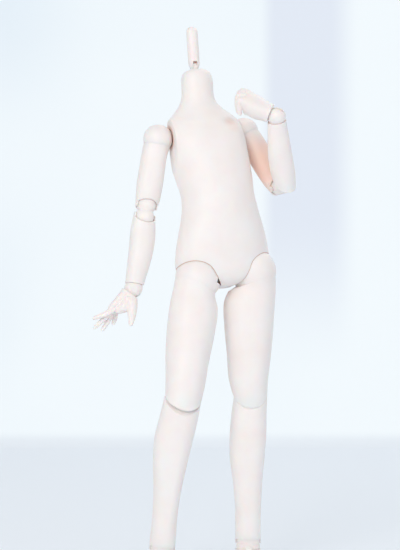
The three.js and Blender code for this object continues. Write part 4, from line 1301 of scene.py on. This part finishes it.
def backdrop_material():
    m, tree, shader = material("backdrop")
    place = node(tree, "TexCoord").outputs["Object"]
    split = node(tree, "SeparateXYZ", {0: place})
    across, height = split.outputs["X"], split.outputs["Z"]
    cloud = noise(tree, place, CLOUDS_SCALE, 1.0)
    colour = mixed(tree, ramp(tree, cloud, 0.45, 0.8, 0.5), linear(BACKDROP), linear(CORNER))
    corner = times(tree, ramp(tree, across, *CORNER_ASIDE), ramp(tree, height, *CORNER_RISE))
    colour = mixed(tree, corner, colour, linear(CORNER))
    # Painted shade: a broad band at the right, a little darker than the wall, fading out towards the floor.
    band_shade = times(tree, ramp(tree, across, *BAND_FROM), ramp(tree, across, *BAND_TO))
    band_shade = times(tree, band_shade, ramp(tree, height, *BAND_RISE))
    colour = mixed(tree, band_shade, colour, linear(BAND_SHADE))
    colour = mixed(tree, ramp(tree, height, *FOOT_OF_WALL), linear(FLOOR), colour)
    tree.links.new(colour, shader.inputs["Base Color"])
    shader.inputs["Roughness"].default_value = 0.9
    shader.inputs["Specular IOR Level"].default_value = 0.1
    path = node(tree, "LightPath")
    kinds = ("Camera", "Glossy", "Transmission")
    seen = strongest(tree, [path.outputs["Is " + kind + " Ray"] for kind in kinds])
    glow = node(tree, "Emission", {"Color": colour, "Strength": 1.0})
    glowing = ramp(tree, height, *FOOT_OF_WALL, WALL_GLOW)
    shown = times(tree, seen, strongest(tree, [glowing, FLOOR_GLOW]))
    mix = node(tree, "MixShader", {0: shown, 1: shader.outputs[0], 2: glow.outputs[0]})
    tree.links.new(mix.outputs[0], tree.nodes["Material Output"].inputs["Surface"])
    return m


wear(stage(), backdrop_material())
print("the wall stands", WALL_AT, "m behind the doll")

# %% [markdown]
# ## Light and camera
#
# A pale sky lights all sides, and a large soft lamp at the upper left gives the limbs their form. A
# wide weak one fills from the right, and a small one from behind picks out the edges. The camera
# stands level at the height of the hips, 1.2 m in front, as far as the photograph's drawing suggests.
# Its focal length is 1667 pixels for a frame 550 pixels high.

# %% World, lamps and camera
SKY = "#f4f7fc"
SKY_STRENGTH = 0.65
LAMPS_AIM = (0, 0, 0.05)
scene = bpy.context.scene
world = bpy.data.worlds.new("studio")
scene.world = world
world.use_nodes = True
sky = world.node_tree.nodes["Background"].inputs
sky["Color"].default_value = linear(SKY)
sky["Strength"].default_value = SKY_STRENGTH
hips = (at("right_hip_swing") + at("left_hip_swing")) / 2


def lamp(name, offset, size, power, colour="#ffffff"):
    data = bpy.data.lights.new(name, "AREA")
    data.shape = "DISK"
    data.size = size
    data.energy = power
    data.color = linear(colour)[:3]
    light = bpy.data.objects.new(name, data)
    light.location = hips + np.array(offset)
    x, y, z = np.array(LAMPS_AIM) - np.array(offset)
    light.rotation_euler = (math.atan2(np.hypot(x, y), -z), 0, math.atan2(-x, y))
    scene.collection.objects.link(light)


lamp("key", (-0.7, -1.5, 0.7), 1.0, 10.5, "#fffaf4")
lamp("fill", (1.0, -1.3, 0.3), 1.4, 3.8, "#f8f9ff")
lamp("rim", (0.5, 0.7, 1.0), 0.7, 3.0)

FRAME_HEIGHT_PX = 550
FOCAL_PX = 1667
SENSOR = 24
CAMERA_FROM_HIPS = (-0.0187, -1.1995, -0.0006)
camera_data = bpy.data.cameras.new("camera")
camera_data.sensor_fit = "VERTICAL"
camera_data.sensor_height = SENSOR
camera_data.lens = SENSOR * FOCAL_PX / FRAME_HEIGHT_PX
camera = bpy.data.objects.new("camera", camera_data)
camera.location = hips + np.array(CAMERA_FROM_HIPS)
camera.rotation_euler = (math.pi / 2, 0, 0)
scene.collection.objects.link(camera)
scene.camera = camera
scene.view_settings.view_transform = "Standard"
print("camera at", camera.location[:], "lens", round(camera_data.lens, 2), "mm")
